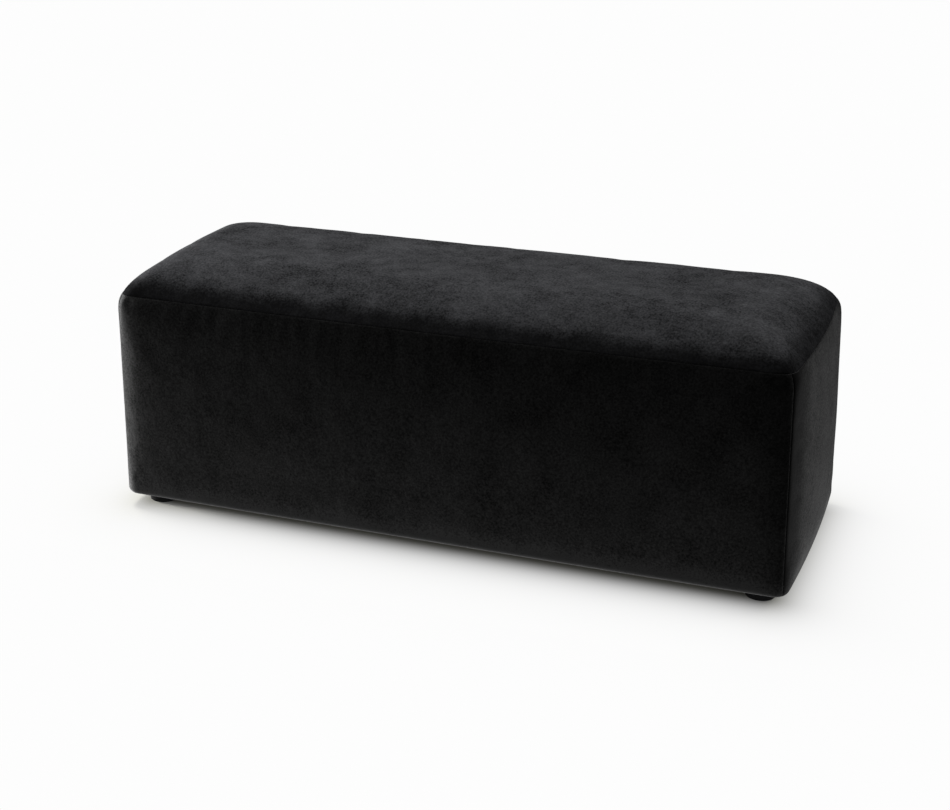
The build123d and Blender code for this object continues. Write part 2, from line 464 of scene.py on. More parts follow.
@dataclass(frozen=True)
class ZincSteel:
    """Bright zinc-plated steel."""

    colour: Colour = (0.52, 0.52, 0.5)
    dull: Colour = (0.34, 0.34, 0.33)
    cloud: float = 4.0 * MM

    def material(self) -> Material:
        """Clouded plating that varies in gloss.

        Returns:
            The finished material.
        """
        graph = Graph.of_material("zinc_steel")
        clouds = graph.noise(graph.object_place(), self.cloud, detail=3.0, roughness=0.6)
        return graph.surface(
            Base_Color=graph.blend(clouds, self.dull, self.colour),
            Metallic=1.0,
            Roughness=clouds * 0.25 + 0.25,
        )


@dataclass(frozen=True)
class Timber:
    """Pale wood, as planed pine or sanded plywood."""

    name: str
    pale: Colour
    dark: Colour
    grain_axis: Triple
    rings_per_metre: float = 14.0
    fibre: float = 4.0 * MM
    grain_depth: float = 0.12 * MM

    def material(self) -> Material:
        """Growth rings as a wave bent by noise, stretched along the grain, with fine fibres on top.

        Returns:
            The finished material.
        """
        graph = Graph.of_material(self.name)
        place = graph.object_place(self.grain_axis)
        bands = {"wave_type": "BANDS", "bands_direction": "DIAGONAL"}
        bent = {"Distortion": 5.0, "Detail": 3.0, "Detail Scale": 1.4}
        spread = {"Vector": place, "Scale": self.rings_per_metre, **bent}
        rings = graph.node("ShaderNodeTexWave", bands, spread)
        fibres = graph.noise(place, self.fibre, detail=3.0, roughness=0.7)
        grain = rings.out("Fac") * 0.6 + fibres * 0.4
        return graph.surface(
            Base_Color=graph.blend(grain, self.pale, self.dark),
            Roughness=fibres * 0.2 + 0.55,
            Normal=graph.bump(grain, self.grain_depth),
        )


@dataclass(frozen=True)
class Padding:
    """Open foam or loose wadding, told apart by colour and by the size of its cells or fibres."""

    name: str
    pale: Colour
    dark: Colour
    cell: float
    stretch: Triple
    patch: float = 80.0 * MM
    depth_share: float = 0.5

    def material(self) -> Material:
        """Small cells or tangled fibres over slow changes of colour.

        Returns:
            The finished material.
        """
        graph = Graph.of_material(self.name)
        cells = graph.noise(graph.object_place(self.stretch), self.cell, detail=3.0, roughness=0.7)
        patches = graph.noise(graph.object_place(), self.patch, detail=2.0, roughness=0.5)
        return graph.surface(
            Base_Color=graph.blend(cells * 0.7 + patches * 0.3, self.dark, self.pale),
            Roughness=0.9,
            Normal=graph.bump(cells, self.cell * self.depth_share),
        )


def grid_faces(rows: int, columns: int, closed: bool = False) -> Array:
    """The quads of a grid whose points are numbered row by row.

    Args:
        rows: How many rows of points.
        columns: How many points in a row.
        closed: True if each row runs round and meets itself.

    Returns:
        Four point numbers for each quad, in an order that faces outwards where columns run to the right and
        rows run up.
    """
    last = columns if closed else columns - 1
    row, column = np.meshgrid(np.arange(rows - 1), np.arange(last), indexing="ij")
    low, high = row * columns, (row + 1) * columns
    beside = (column + 1) % columns
    quads = [low + column, low + beside, high + beside, high + column]
    return np.stack([q.ravel() for q in quads], axis=1)


def make_piece(name: str, points: Array, faces: list[Array], material: Material) -> bpy.types.Object:
    """Makes a smooth-shaded object at the origin that rides on the bench.

    Args:
        name: The piece's name.
        points: Its points, one row each.
        faces: Arrays of point numbers, one row a face.
        material: Its finish.

    Returns:
        The new object.
    """
    mesh = bpy.data.meshes.new(name)
    mesh.from_pydata(points.reshape(-1, 3), [], [face for block in faces for face in block.tolist()])
    mesh.update()
    mesh.shade_smooth()
    mesh.materials.append(material)
    piece = bpy.data.objects.new(name, mesh)
    bpy.context.scene.collection.objects.link(piece)
    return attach(piece, "root")


def store(piece: bpy.types.Object, name: str, values: Array) -> None:
    """Stores one number on each point of a piece."""
    layer = piece.data.attributes.new(name, "FLOAT", "POINT")
    layer.data.foreach_set("value", np.ascontiguousarray(values.ravel(), dtype=np.float32))


def thicken(piece: bpy.types.Object, thickness: float) -> None:
    """Gives a surface its thickness, inwards from where it lies.

    Args:
        piece: The surface.
        thickness: How thick it becomes.
    """
    solid = piece.modifiers.new("thickness", "SOLIDIFY")
    solid.thickness = thickness
    solid.offset = -1.0
    solid.use_even_offset = False


def smooth(piece: bpy.types.Object, levels: int = 1) -> None:
    """Subdivides a piece for its finished smoothness.

    Args:
        piece: The piece.
        levels: How many times each face is split.
    """
    finer = piece.modifiers.new("smoothness", "SUBSURF")
    finer.levels = levels
    finer.render_levels = levels


def report(piece: bpy.types.Object) -> None:
    """Logs a finished piece and how many points it has."""
    log.info("%s: %d points", piece.name, len(piece.data.vertices))


@dataclass(frozen=True)
class Waves:
    """Gentle uneven waves from about -1 to 1: the mean of a few sines of unlike length and direction.

    The length is that of a usual wave, and the seed picks which waves they are. The mean is made stronger,
    because the sines weaken each other.
    """

    length: float
    seed: int
    count: int = 7
    spread: tuple[float, float] = (0.7, 1.6)
    strength: float = 1.6

    def at(self, places: Array) -> Array:
        """The waves' height at places, as strength * mean of sin(2 * pi * place along it / length + start).

        Args:
            places: Points, in metres.

        Returns:
            One height for each point.
        """
        chance = np.random.default_rng(self.seed)
        directions = chance.normal(size=(self.count, 3))
        directions /= np.linalg.norm(directions, axis=1, keepdims=True)
        turns = 2.0 * np.pi / (self.length * chance.uniform(*self.spread, self.count))
        starts = chance.uniform(0.0, 2.0 * np.pi, self.count)
        return np.sin((places @ directions.T) * turns + starts).mean(axis=-1) * self.strength


def cubic_weights(share: Array) -> list[Array]:
    """The weights of Catmull and Rom's cubic for the four points around a place.

    Args:
        share: How far the place lies between the second point, at 0, and the third, at 1.

    Returns:
        The weight of each of the four points.
    """
    return [
        0.5 * (-share + 2.0 * share**2 - share**3),
        0.5 * (2.0 - 5.0 * share**2 + 3.0 * share**3),
        0.5 * (share + 4.0 * share**2 - 3.0 * share**3),
        0.5 * (-(share**2) + share**3),
    ]


def read_field(values: Array, row: Array, column: Array, ring: bool) -> Array:
    """Reads a field that is known on a grid at places between its points, by Catmull and Rom's cubic.

    Args:
        values: The field, rows by columns by 3.
        row: Where to read, counted in rows.
        column: Where to read, counted in columns.
        ring: True if the columns run round and meet.

    Returns:
        The field at each place.
    """
    rows, columns = values.shape[:2]
    row, column = np.broadcast_arrays(row, column)
    first_row = np.clip(np.floor(row).astype(int), 0, rows - 2)
    first_column = np.floor(column).astype(int)
    if not ring:
        first_column = np.clip(first_column, 0, columns - 2)
    row_weights = cubic_weights(np.clip(row - first_row, 0.0, 1.0))
    column_weights = cubic_weights(column - first_column)
    total = np.zeros((*row.shape, 3))
    for i, row_weight in enumerate(row_weights):
        for j, column_weight in enumerate(column_weights):
            at_row = np.clip(first_row + i - 1, 0, rows - 1)
            at_column = first_column + j - 1
            at_column = at_column % columns if ring else np.clip(at_column, 0, columns - 1)
            total += values[at_row, at_column] * (row_weight * column_weight)[..., None]
    return total


def smooth_step(value: Array, low: float, high: float) -> Array:
    """Rises from 0 at the low value to 1 at the high one, level at both ends."""
    share = np.clip((value - low) / (high - low), 0.0, 1.0)
    return share**2 * (3.0 - 2.0 * share)


@dataclass(frozen=True)
class Form:
    """The outer shape of the covered block.

    A line round the block is a rectangle with rounded corners whose sides bow out. The lines follow each
    other up a profile, and each is named by its distance along it: in under the box for the hem, round the
    bottom edge by a quarter circle, straight up the leaning wall, over the seat's edge by a quarter ellipse,
    and over the crown. An inset is how far a line lies inside the outline of the wall's top. The walls flare
    out toward the foot, bow out in plan and belly out most at half their height, and the ends lean in below.
    """

    half_length: float
    half_width: float
    top: float
    bottom: float
    seam_height: float
    hem_width: float = 60.0 * MM
    bottom_edge: float = 10.0 * MM
    fold_drop: float = 1.0 * MM
    fold_width: float = 12.0 * MM
    flare: float = 9.5 * MM
    upright_edge: float = 26.0 * MM
    rounding_inset: float = 104.0 * MM
    rounding_drop: float = 75.0 * MM
    crown: float = 4.0 * MM
    crown_start: float = 50.0 * MM
    crown_run: float = 45.0 * MM
    seat_corner: float = 57.0 * MM
    wall_bow: float = 1.5 * MM
    wall_belly: float = 9.0 * MM
    end_bow: float = 5.0 * MM
    end_belly: float = 14.0 * MM
    end_lean: float = 5.0 * MM
    least_radius: float = 1.0 * MM
    bend_steps: int = 160
    wall_steps: int = 60
    level_steps: int = 40
    slope_step: float = 0.25 * MM

    @staticmethod
    def from_frame(end_overhang: float = 30.8 * MM, side_overhang: float = 29.0 * MM) -> "Form":
        """Works the block's sizes out from the frame's dust cover and top panel.

        Args:
            end_overhang: How far the ends stand outside the dust cover, before they lean or belly.
            side_overhang: The same for the long walls.

        Returns:
            The block's shape.
        """
        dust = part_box("dust_cover")[1]
        panel_low, panel_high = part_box("velvet_top_panel")
        half_length, half_width = dust.x + end_overhang, dust.y + side_overhang
        return Form(half_length, half_width, top=panel_high.z, bottom=dust.z, seam_height=panel_low.z)

    @property
    def wall_top(self) -> float:
        """The height at which the wall ends and the rounding of the seat's edge begins."""
        return self.top - self.crown - self.rounding_drop

    def _profile(self) -> dict[str, Array]:
        """Works the profile out as a table: the hem, the bottom edge, the wall, the rounding and the crown.

        The bottom edge's inset is edge * (1 - sin) and its height edge * (1 - cos) of a quarter turn, and
        the rounding's are inset * (1 - cos) and drop * sin. The corners' radius is drawn in under the box,
        stays even up the wall and grows with the rounding's inset.

        Returns:
            The profile's length so far, and there the inset, the height and the corners' radius.
        """
        turn = np.linspace(0.0, QUARTER_TURN, self.bend_steps)
        wall = np.linspace(self.bottom + self.bottom_edge, self.wall_top, self.wall_steps)
        under = np.linspace(self.hem_width, self.bottom_edge, self.level_steps) - self.flare
        edge = -self.flare + self.bottom_edge * (1.0 - np.sin(turn))
        lean = -self.flare * (self.wall_top - wall) / (self.wall_top - self.bottom)
        over = self.rounding_inset * (1.0 - np.cos(turn))
        flat = self.rounding_inset + np.linspace(0.0, self.crown_run, self.level_steps)
        rise = self.bottom + self.bottom_edge * (1.0 - np.cos(turn))
        rounding = self.wall_top + self.rounding_drop * np.sin(turn)
        even = self.upright_edge
        drawn_in = [np.maximum(even - (inset + self.flare), self.least_radius) for inset in (under, edge)]
        over_radius = even + (self.seat_corner - even) * over / self.rounding_inset
        flat_radius = self.seat_corner - (flat - self.rounding_inset)
        stretches = [
            (under, np.full_like(under, self.bottom), drawn_in[0]),
            (edge[1:], rise[1:], drawn_in[1][1:]),
            (lean[1:], wall[1:], np.full_like(wall[1:], even)),
            (over[1:], rounding[1:], over_radius[1:]),
            (flat[1:], np.full_like(flat[1:], self.wall_top + self.rounding_drop), flat_radius[1:]),
        ]
        inset, height, radius = (np.concatenate(part) for part in zip(*stretches))
        crown_end = self.rounding_inset + self.crown_run
        height = height + self.crown * smooth_step(inset, self.crown_start, crown_end)
        steps = np.hypot(np.diff(inset), np.diff(height))
        arc = np.concatenate([[0.0], np.cumsum(steps)])
        return {"arc": arc, "inset": inset, "height": height, "radius": radius}

    @property
    def length(self) -> float:
        """The profile's whole length, from the hem's raw edge to the level middle of the seat."""
        return float(self._profile()["arc"][-1])

    @property
    def foot_arc(self) -> float:
        """Where on the profile the wall begins, above the rounded bottom edge."""
        return self.hem_width - self.bottom_edge + self.bottom_edge * math.pi / 2.0

    @property
    def seam_arc(self) -> float:
        """Where on the profile the seam between the walls and the top panel lies."""
        return self.arc_at(self.seam_height)

    def arc_at(self, height: float) -> float:
        """Finds a height of the wall or of the rounding on the profile.

        Args:
            height: The height above the floor.

        Returns:
            The distance up the profile.
        """
        table = self._profile()
        rising = table["arc"] > self.hem_width
        return float(np.interp(height, table["height"][rising], table["arc"][rising]))

    def section(self, arc: Array) -> tuple[Array, Array, Array]:
        """The inset, the height and the corners' radius at places on the profile."""
        table = self._profile()
        return tuple(np.interp(arc, table["arc"], table[name]) for name in ("inset", "height", "radius"))

    def halves(self, inset: Array, height: Array) -> tuple[Array, Array, Array]:
        """Half the length and half the width of a line, and how far up the block it lies, from 0 to 1."""
        rise = np.clip((height - self.bottom) / (self.top - self.bottom), 0.0, 1.0)
        return self.half_length - inset - self.end_lean * (1.0 - rise), self.half_width - inset, rise

    def half_run(self, wall: Wall, arc: Array) -> Array:
        """Half the length of a line along one wall, from mitre to mitre: half - radius + radius * pi / 4.

        Args:
            wall: The wall.
            arc: Where on the profile the line lies.

        Returns:
            The half length.
        """
        inset, height, radius = self.section(arc)
        length, width, _ = self.halves(inset, height)
        return (length if wall.is_long else width) - radius + radius * math.pi / 4.0

    def points(self, wall: Wall, arc: Array, along: Array) -> Array:
        """Places on the block's surface.

        A line is straight up to where its corner's circle begins, and bows out by bow * (1 - share**2) **
        power, where share runs from -1 to 1 along the straight part. The power grows from 1 to 2 with the
        corner's radius. The fold at the foot hangs lower than the hem, by drop * exp(-((arc - middle) /
        width) ** 2).

        Args:
            wall: The wall they belong to.
            arc: The distance up the profile.
            along: The distance along the line, from the wall's middle.

        Returns:
            The points, with X, Y and Z in the last axis.
        """
        arc, along = np.broadcast_arrays(arc, along)
        inset, height, radius = self.section(arc)
        length, width, rise = self.halves(inset, height)
        half, off = (length, width) if wall.is_long else (width, length)
        straight = half - radius
        angle = np.clip(np.abs(along) - straight, 0.0, None) / radius
        share = np.clip(along / straight, -1.0, 1.0)
        bow, belly = (self.wall_bow, self.wall_belly) if wall.is_long else (self.end_bow, self.end_belly)
        bulge = bow + (belly - bow) * np.sin(np.pi * rise)
        power = 1.0 + (radius - self.upright_edge).clip(0.0) / (self.seat_corner - self.upright_edge)
        out = off + bulge * (1.0 - share**2) ** power - radius * (1.0 - np.cos(angle))
        sideways = np.clip(along, -straight, straight) + np.sign(along) * radius * np.sin(angle)
        x, y = wall.place(sideways, out)
        middle = self.hem_width - self.bottom_edge * (1.0 - math.pi / 4.0)
        drop = self.fold_drop * np.exp(-(((arc - middle) / self.fold_width) ** 2))
        return np.stack([x, y, height - drop], axis=-1)

    def normals(self, wall: Wall, arc: Array, along: Array) -> Array:
        """The outward direction at places on the surface: the cross product of its slopes, by differences.

        Args:
            wall: The wall they belong to.
            arc: The distance up the profile.
            along: The distance along the line, from the wall's middle.

        Returns:
            One direction of length 1 for each place.
        """
        step = self.slope_step
        low, high = np.clip(arc - step, 0.0, None), np.clip(arc + step, None, self.length)
        across = self.points(wall, arc, along + step) - self.points(wall, arc, along - step)
        upward = self.points(wall, high, along) - self.points(wall, low, along)
        normal = np.cross(across, upward)
        return normal / np.linalg.norm(normal, axis=-1, keepdims=True)


@dataclass(frozen=True)
class Lines:
    """Where the lines of a lattice run: their distances, and how far each is tucked into a seam."""

    places: Array
    tuck: Array

    @staticmethod
    def even(low: float, high: float, step: float) -> "Lines":
        """Evenly spaced lines, none of them tucked in."""
        places = np.linspace(low, high, max(2, round((high - low) / step) + 1))
        return Lines(places, np.zeros(len(places)))


@dataclass(frozen=True)
class Seam:
    """A plain seam: two edges turned in side by side, a narrow groove between them and slight puckers.

    The seam round the top lies on the seat's rounding and shows less, as if each place were further from it.
    """

    tuck: tuple[float, ...] = (2.8 * MM, 2.0 * MM, 1.2 * MM)
    beyond: tuple[float, ...] = (-0.9 * MM, -0.5 * MM, 0.0)
    close: tuple[float, ...] = tuple(MM * d for d in (0.1, 0.5, 1.1, 2.0, 3.6, 6.2, 10.0, 15.0))
    groove: float = 0.7 * MM
    groove_reach: float = 1.1 * MM
    puff: float = 0.22 * MM
    puff_reach: float = 5.0 * MM
    top_quiet: float = 1.4 * MM
    pucker: float = 0.07 * MM
    puckers: Waves = Waves(15.0 * MM, 11)
    pucker_start: float = 1.0 * MM
    pucker_reach: float = 14.0 * MM

    def end(self) -> Lines:
        """The lines at one seam, as distances from it: the deepest tucked ones reach under the next panel."""
        places = np.concatenate([self.beyond, self.close])
        return Lines(places, np.concatenate([self.tuck, np.zeros(len(self.close))]))

    def height(self, distance: Array, points: Array) -> Array:
        """How far the cloth stands out near a seam.

        The groove falls off as exp(-d / reach), the puff beside it follows d / reach * exp(1 - d / reach),
        and the puckers are soft waves times (1 - exp(-d / start)) * exp(-d / reach).

        Args:
            distance: The distance from the nearest seam.
            points: The places, for the puckers.

        Returns:
            The height, below zero in the groove.
        """
        groove = -self.groove * np.exp(-distance / self.groove_reach)
        puff = self.puff * distance / self.puff_reach * np.exp(1.0 - distance / self.puff_reach)
        fade = (1.0 - np.exp(-distance / self.pucker_start)) * np.exp(-distance / self.pucker_reach)
        return groove + puff + self.pucker * fade * self.puckers.at(points)


@dataclass(frozen=True)
class Counts:
    """How many cells a ring round the block has along a long wall and along an end wall."""

    long: int
    short: int

    @property
    def total(self) -> int:
        """The cells in the whole ring."""
        return 2 * (self.long + self.short)

    def starts(self) -> dict[Wall, int]:
        """The ring's column at which each wall begins."""
        first = {Wall.FRONT: 0, Wall.RIGHT: self.long, Wall.BACK: self.long + self.short}
        return {**first, Wall.LEFT: 2 * self.long + self.short}

    def cells(self, wall: Wall) -> int:
        """The cells along one wall."""
        return self.long if wall.is_long else self.short

    def around(self, form: Form, arc: Array, read: Callable[[Wall, Array, Array], Array]) -> Array:
        """Reads something of the surface on rings right round the block.

        Args:
            form: The block's shape.
            arc: Where on the profile the rings lie, as a column.
            read: Gives what is read from a wall, the rings' places and the places along the wall.

        Returns:
            What was read, with a row for each ring and a column for each of its points.
        """
        parts = []
        for wall in Wall:
            cells = self.cells(wall)
            share = (np.arange(cells) * 2.0 / cells - 1.0)[None, :]
            parts.append(read(wall, arc, share * form.half_run(wall, arc)))
        return np.concatenate(parts, axis=1)

    def cap_border(self) -> Array:
        """Lays the ring's columns round the border of a grid whose rows run from front to back.

        Returns:
            The column of each point of the border, and -1 inside.
        """
        grid = np.full((self.short + 1, self.long + 1), -1)
        grid[0] = np.arange(self.long + 1)
        grid[:, -1] = self.long + np.arange(self.short + 1)
        grid[-1] = 2 * self.long + self.short - np.arange(self.long + 1)
        grid[:, 0] = (self.total - np.arange(self.short + 1)) % self.total
        return grid

    def cap_numbers(self, first_ring: int, first_new: int) -> tuple[Array, Array]:
        """Numbers the points of a patch that fills a ring.

        Args:
            first_ring: The number of the ring's first point.
            first_new: The number of the first point inside the patch.

        Returns:
            The number of each point of the patch, and which of them lie inside.
        """
        numbers = self.cap_border()
        inside = numbers < 0
        numbers = numbers + first_ring
        numbers[inside] = first_new + np.arange(inside.sum())
        return numbers, inside

    def dome_faces(self, rows: int) -> tuple[list[Array], Array, Array]:
        """The faces of rings and of the patch that closes the last of them.

        Args:
            rows: How many rings there are. Their points come first, and the patch's inside follows.

        Returns:
            The faces, the patch's point numbers, and which of its points lie inside.
        """
        numbers, inside = self.cap_numbers((rows - 1) * self.total, rows * self.total)
        return [grid_faces(rows, self.total, closed=True), patch_faces(numbers)], numbers, inside


def patch_faces(numbers: Array) -> Array:
    """The quads of a patch, from its points' numbers."""
    return numbers.ravel()[grid_faces(*numbers.shape)]


def join(rings: Array, inside: Array) -> Array:
    """Puts the values on rings and those inside the patch that closes them into one row of points."""
    return np.concatenate([rings.reshape(-1, *inside.shape[1:]), inside])


def fill_cap(ring: Array, counts: Counts) -> Array:
    """Fills a ring with a smooth patch, by Coons' rule: the blends of facing sides less that of the corners.

    Args:
        ring: The ring's points.
        counts: Its cells.

    Returns:
        The patch, rows from front to back and columns from left to right, its border on the ring.
    """
    border = ring[counts.cap_border() % counts.total]
    u = np.linspace(0.0, 1.0, counts.long + 1)[None, :, None]
    v = np.linspace(0.0, 1.0, counts.short + 1)[:, None, None]
    front, back, left, right = border[:1], border[-1:], border[:, :1], border[:, -1:]
    sides = (1.0 - v) * front + v * back + (1.0 - u) * left + u * right
    corners = (1.0 - v) * ((1.0 - u) * front[:, :1] + u * front[:, -1:])
    return sides - corners - v * ((1.0 - u) * back[:, :1] + u * back[:, -1:])


@dataclass
class Cloth:
    """Lets the cover swell against its seams by a cloth simulation, and tells other lattices how it moved.

    A coarse copy of the block, without its hem, is held along its seams and its bottom edge and is pushed
    out from inside. A shrink below zero makes the cloth a little larger than the block. What each point
    moves is softened to a limit and read off between the points by every finer piece.
    """

    form: Form
    counts: Counts = Counts(96, 30)
    row_step: float = 11.0 * MM
    pressure: float = 4.0
    frames: int = 20
    limit: float = 5.0 * MM
    shrink: float = -0.004
    weight: float = 0.25
    quality: int = 6
    tension: float = 25.0
    compression: float = 12.0
    shear: float = 6.0
    bending: float = 1.2
    ring_field: Array = field(init=False)
    cap_field: Array = field(init=False)
    rows: Array = field(init=False)

    def __post_init__(self) -> None:
        """Sets out the rows and starts with a cover that hasn't moved."""
        below = Lines.even(self.form.foot_arc, self.form.seam_arc, self.row_step).places
        above = Lines.even(self.form.seam_arc, self.form.length, self.row_step).places
        self.rows = np.concatenate([below, above[1:]])
        self.ring_field = np.zeros((len(self.rows), self.counts.total, 3))
        self.cap_field = np.zeros((self.counts.short + 1, self.counts.long + 1, 3))

    def run(self) -> None:
        """Runs the simulation and keeps how far each point moved, softened to shift / (1 + size / limit)."""
        ring = self.counts.around(self.form, self.rows[:, None], self.form.points)
        faces, numbers, inside = self.counts.dome_faces(len(self.rows))
        points = join(ring, fill_cap(ring[-1], self.counts)[inside])
        shift = self._simulate(points, faces) - points
        size = np.linalg.norm(shift, axis=1, keepdims=True)
        log.info("the cover swelled by up to %.1f mm, %.1f mm in the mean", size.max() / MM, size.mean() / MM)
        shift = shift / (1.0 + size / self.limit)
        self.ring_field = shift[: ring.shape[0] * ring.shape[1]].reshape(ring.shape)
        self.cap_field = shift[numbers]

    def _simulate(self, points: Array, faces: list[Array]) -> Array:
        """Lets a cloth swell under a light pressure from inside, held along its seams and its bottom edge.

        Args:
            points: Where its points are at first.
            faces: Arrays of point numbers, one row a face.

        Returns:
            Where its points are at the end.
        """
        mesh = bpy.data.meshes.new("cover_in_simulation")
        mesh.from_pydata(points, [], [quad for block in faces for quad in block.tolist()])
        cover = bpy.data.objects.new("cover_in_simulation", mesh)
        bpy.context.scene.collection.objects.link(cover)
        group = cover.vertex_groups.new(name="held")
        group.add(self._held().tolist(), 1.0, "REPLACE")
        swell = cover.modifiers.new("swell", "CLOTH")
        settings = swell.settings
        settings.quality = self.quality
        settings.mass = self.weight
        settings.tension_stiffness = self.tension
        settings.compression_stiffness = self.compression
        settings.shear_stiffness = self.shear
        settings.bending_stiffness = self.bending
        settings.use_pressure = True
        settings.uniform_pressure_force = self.pressure
        settings.shrink_min = self.shrink
        settings.vertex_group_mass = group.name
        settings.effector_weights.gravity = 0.0
        swell.collision_settings.use_collision = False
        scene = bpy.context.scene
        swell.point_cache.frame_start = 1
        swell.point_cache.frame_end = self.frames
        for step in range(1, self.frames + 1):
            scene.frame_set(step)
        moved = cover.evaluated_get(bpy.context.evaluated_depsgraph_get())
        places = np.empty(len(points) * 3)
        moved.data.vertices.foreach_get("co", places)
        bpy.data.objects.remove(cover)
        bpy.data.meshes.remove(mesh)
        scene.frame_set(1)
        return places.reshape(-1, 3)

    def _held(self) -> Array:
        """Picks the points that stay put: on the lowest two rows, on the top seam and on the upright seams.

        Returns:
            Their numbers.
        """
        total = self.counts.total
        columns = np.arange(total)
        seam_row = int(np.argmin(np.abs(self.rows - self.form.seam_arc)))
        corners = np.array(list(self.counts.starts().values()))
        upright = np.arange(seam_row)[:, None] * total + corners[None, :]
        level = [row * total + columns for row in (0, 1, seam_row)]
        return np.unique(np.concatenate([*level, upright.ravel()]))

    def shift(self, wall: Wall, arc: Array, along: Array) -> Array:
        """How far the cover moved at places on one wall.

        Args:
            wall: The wall.
            arc: The distance up the profile. Below the foot, the lowest row is read.
            along: The distance along the line, from the wall's middle.

        Returns:
            The move of each place, with X, Y and Z in the last axis.
        """
        arc, along = np.broadcast_arrays(arc, along)
        row = np.interp(arc, self.rows, np.arange(len(self.rows)))
        share = along / self.form.half_run(wall, arc)
        column = self.counts.starts()[wall] + (share + 1.0) / 2.0 * self.counts.cells(wall)
        return read_field(self.ring_field, row, column, ring=True)

    def cap_shift(self, counts: Counts) -> Array:
        """How far the level middle of the seat moved, on a grid with other counts.

        Args:
            counts: The grid's cells.

        Returns:
            The move of each point of the grid, with X, Y and Z in the last axis.
        """
        row = np.linspace(0.0, self.counts.short, counts.short + 1)[:, None]
        column = np.linspace(0.0, self.counts.long, counts.long + 1)[None, :]
        return read_field(self.cap_field, row, column, ring=False)


@dataclass(frozen=True)
class PaintedPileShade:
    """Painted shade at each place, from 0 to 1, and a painted highlight below 0, which the velvet shows as
    lying or standing pile.

    The painted shade lies in a band above the top seam, on the slope toward the right end and beside the
    upright seams there, and the painted highlight runs along the foot. A pair of shares or widths is for the
    long walls and for the ends.
    """

    # painted shade on the slope toward the right end and in a band above the top seam
    on_slope_share: float = 0.45
    slope: tuple[float, float] = (0.36, 0.72)
    by_seam_share: float = 0.9
    seam_reach: tuple[float, float] = (13.0 * MM, 48.0 * MM)
    slope_hush: float = 0.65
    narrowing_share: float = 0.35
    narrowing_start: float = 100.0 * MM
    unevenness: float = 7.0 * MM
    seat_edge: Waves = Waves(60.0 * MM, 17)
    wall_edge: Waves = Waves(60.0 * MM, 19)
    # painted shade beside the upright seams toward the right end
    by_corner_shares: tuple[float, float] = (0.35, 1.0)
    corner_widths: tuple[float, float] = (80.0 * MM, 85.0 * MM)
    right_run: float = 200.0 * MM
    # painted highlight along the foot
    foot_highlight_share: float = 0.8
    foot_width: float = 19.0 * MM
    foot_drop: float = 4.0 * MM

    def on_seat(self, form: Form, base: Array, normal: Array, distance: Array) -> Array:
        """The painted shade round the seat, as 1 - (1 - a * right) * (1 - b * low).

        Here right rises smoothly as the surface turns to the right end, and low falls with the distance from
        the seam, faster toward the right end.

        Args:
            form: The block's shape.
            base: The places.
            normal: Their outward directions.
            distance: Their distance from the seam.

        Returns:
            One number for each place.
        """
        right = smooth_step(normal[..., 0], *self.slope)
        toward_right = smooth_step(base[..., 0], self.narrowing_start, form.half_length)
        narrowed = distance * (1.0 + self.narrowing_share * toward_right)
        uneven = narrowed + self.unevenness * self.seat_edge.at(base)
        low = (1.0 - smooth_step(uneven, *self.seam_reach)) * self.by_seam_share
        low = low * (1.0 - self.slope_hush * right)
        return 1.0 - (1.0 - right * self.on_slope_share) * (1.0 - low)

    def on_wall(self, form: Form, wall: Wall, arc: Array, base: Array, from_corner: Array) -> Array:
        """Painted shade by a wall's seams toward the right end, less a painted highlight exp(-((arc - fold) /
        width) ** 2).

        Args:
            form: The block's shape.
            wall: The wall.
            arc: The distance up the profile.
            base: The places.
            from_corner: Their distance from the nearer upright seam.

        Returns:
            One number for each place.
        """
        which = 0 if wall.is_long else 1
        share, width = self.by_corner_shares[which], self.corner_widths[which]
        uneven = from_corner + self.unevenness * self.wall_edge.at(base)
        beside = (1.0 - smooth_step(uneven, 0.0, width)) * smooth_step(base[..., 0], 0.0, self.right_run)
        # painted highlight along the foot, where the bottom edge turns under
        fold = np.exp(-(((arc - form.foot_arc + self.foot_drop) / self.foot_width) ** 2))
        return beside * share - self.foot_highlight_share * fold


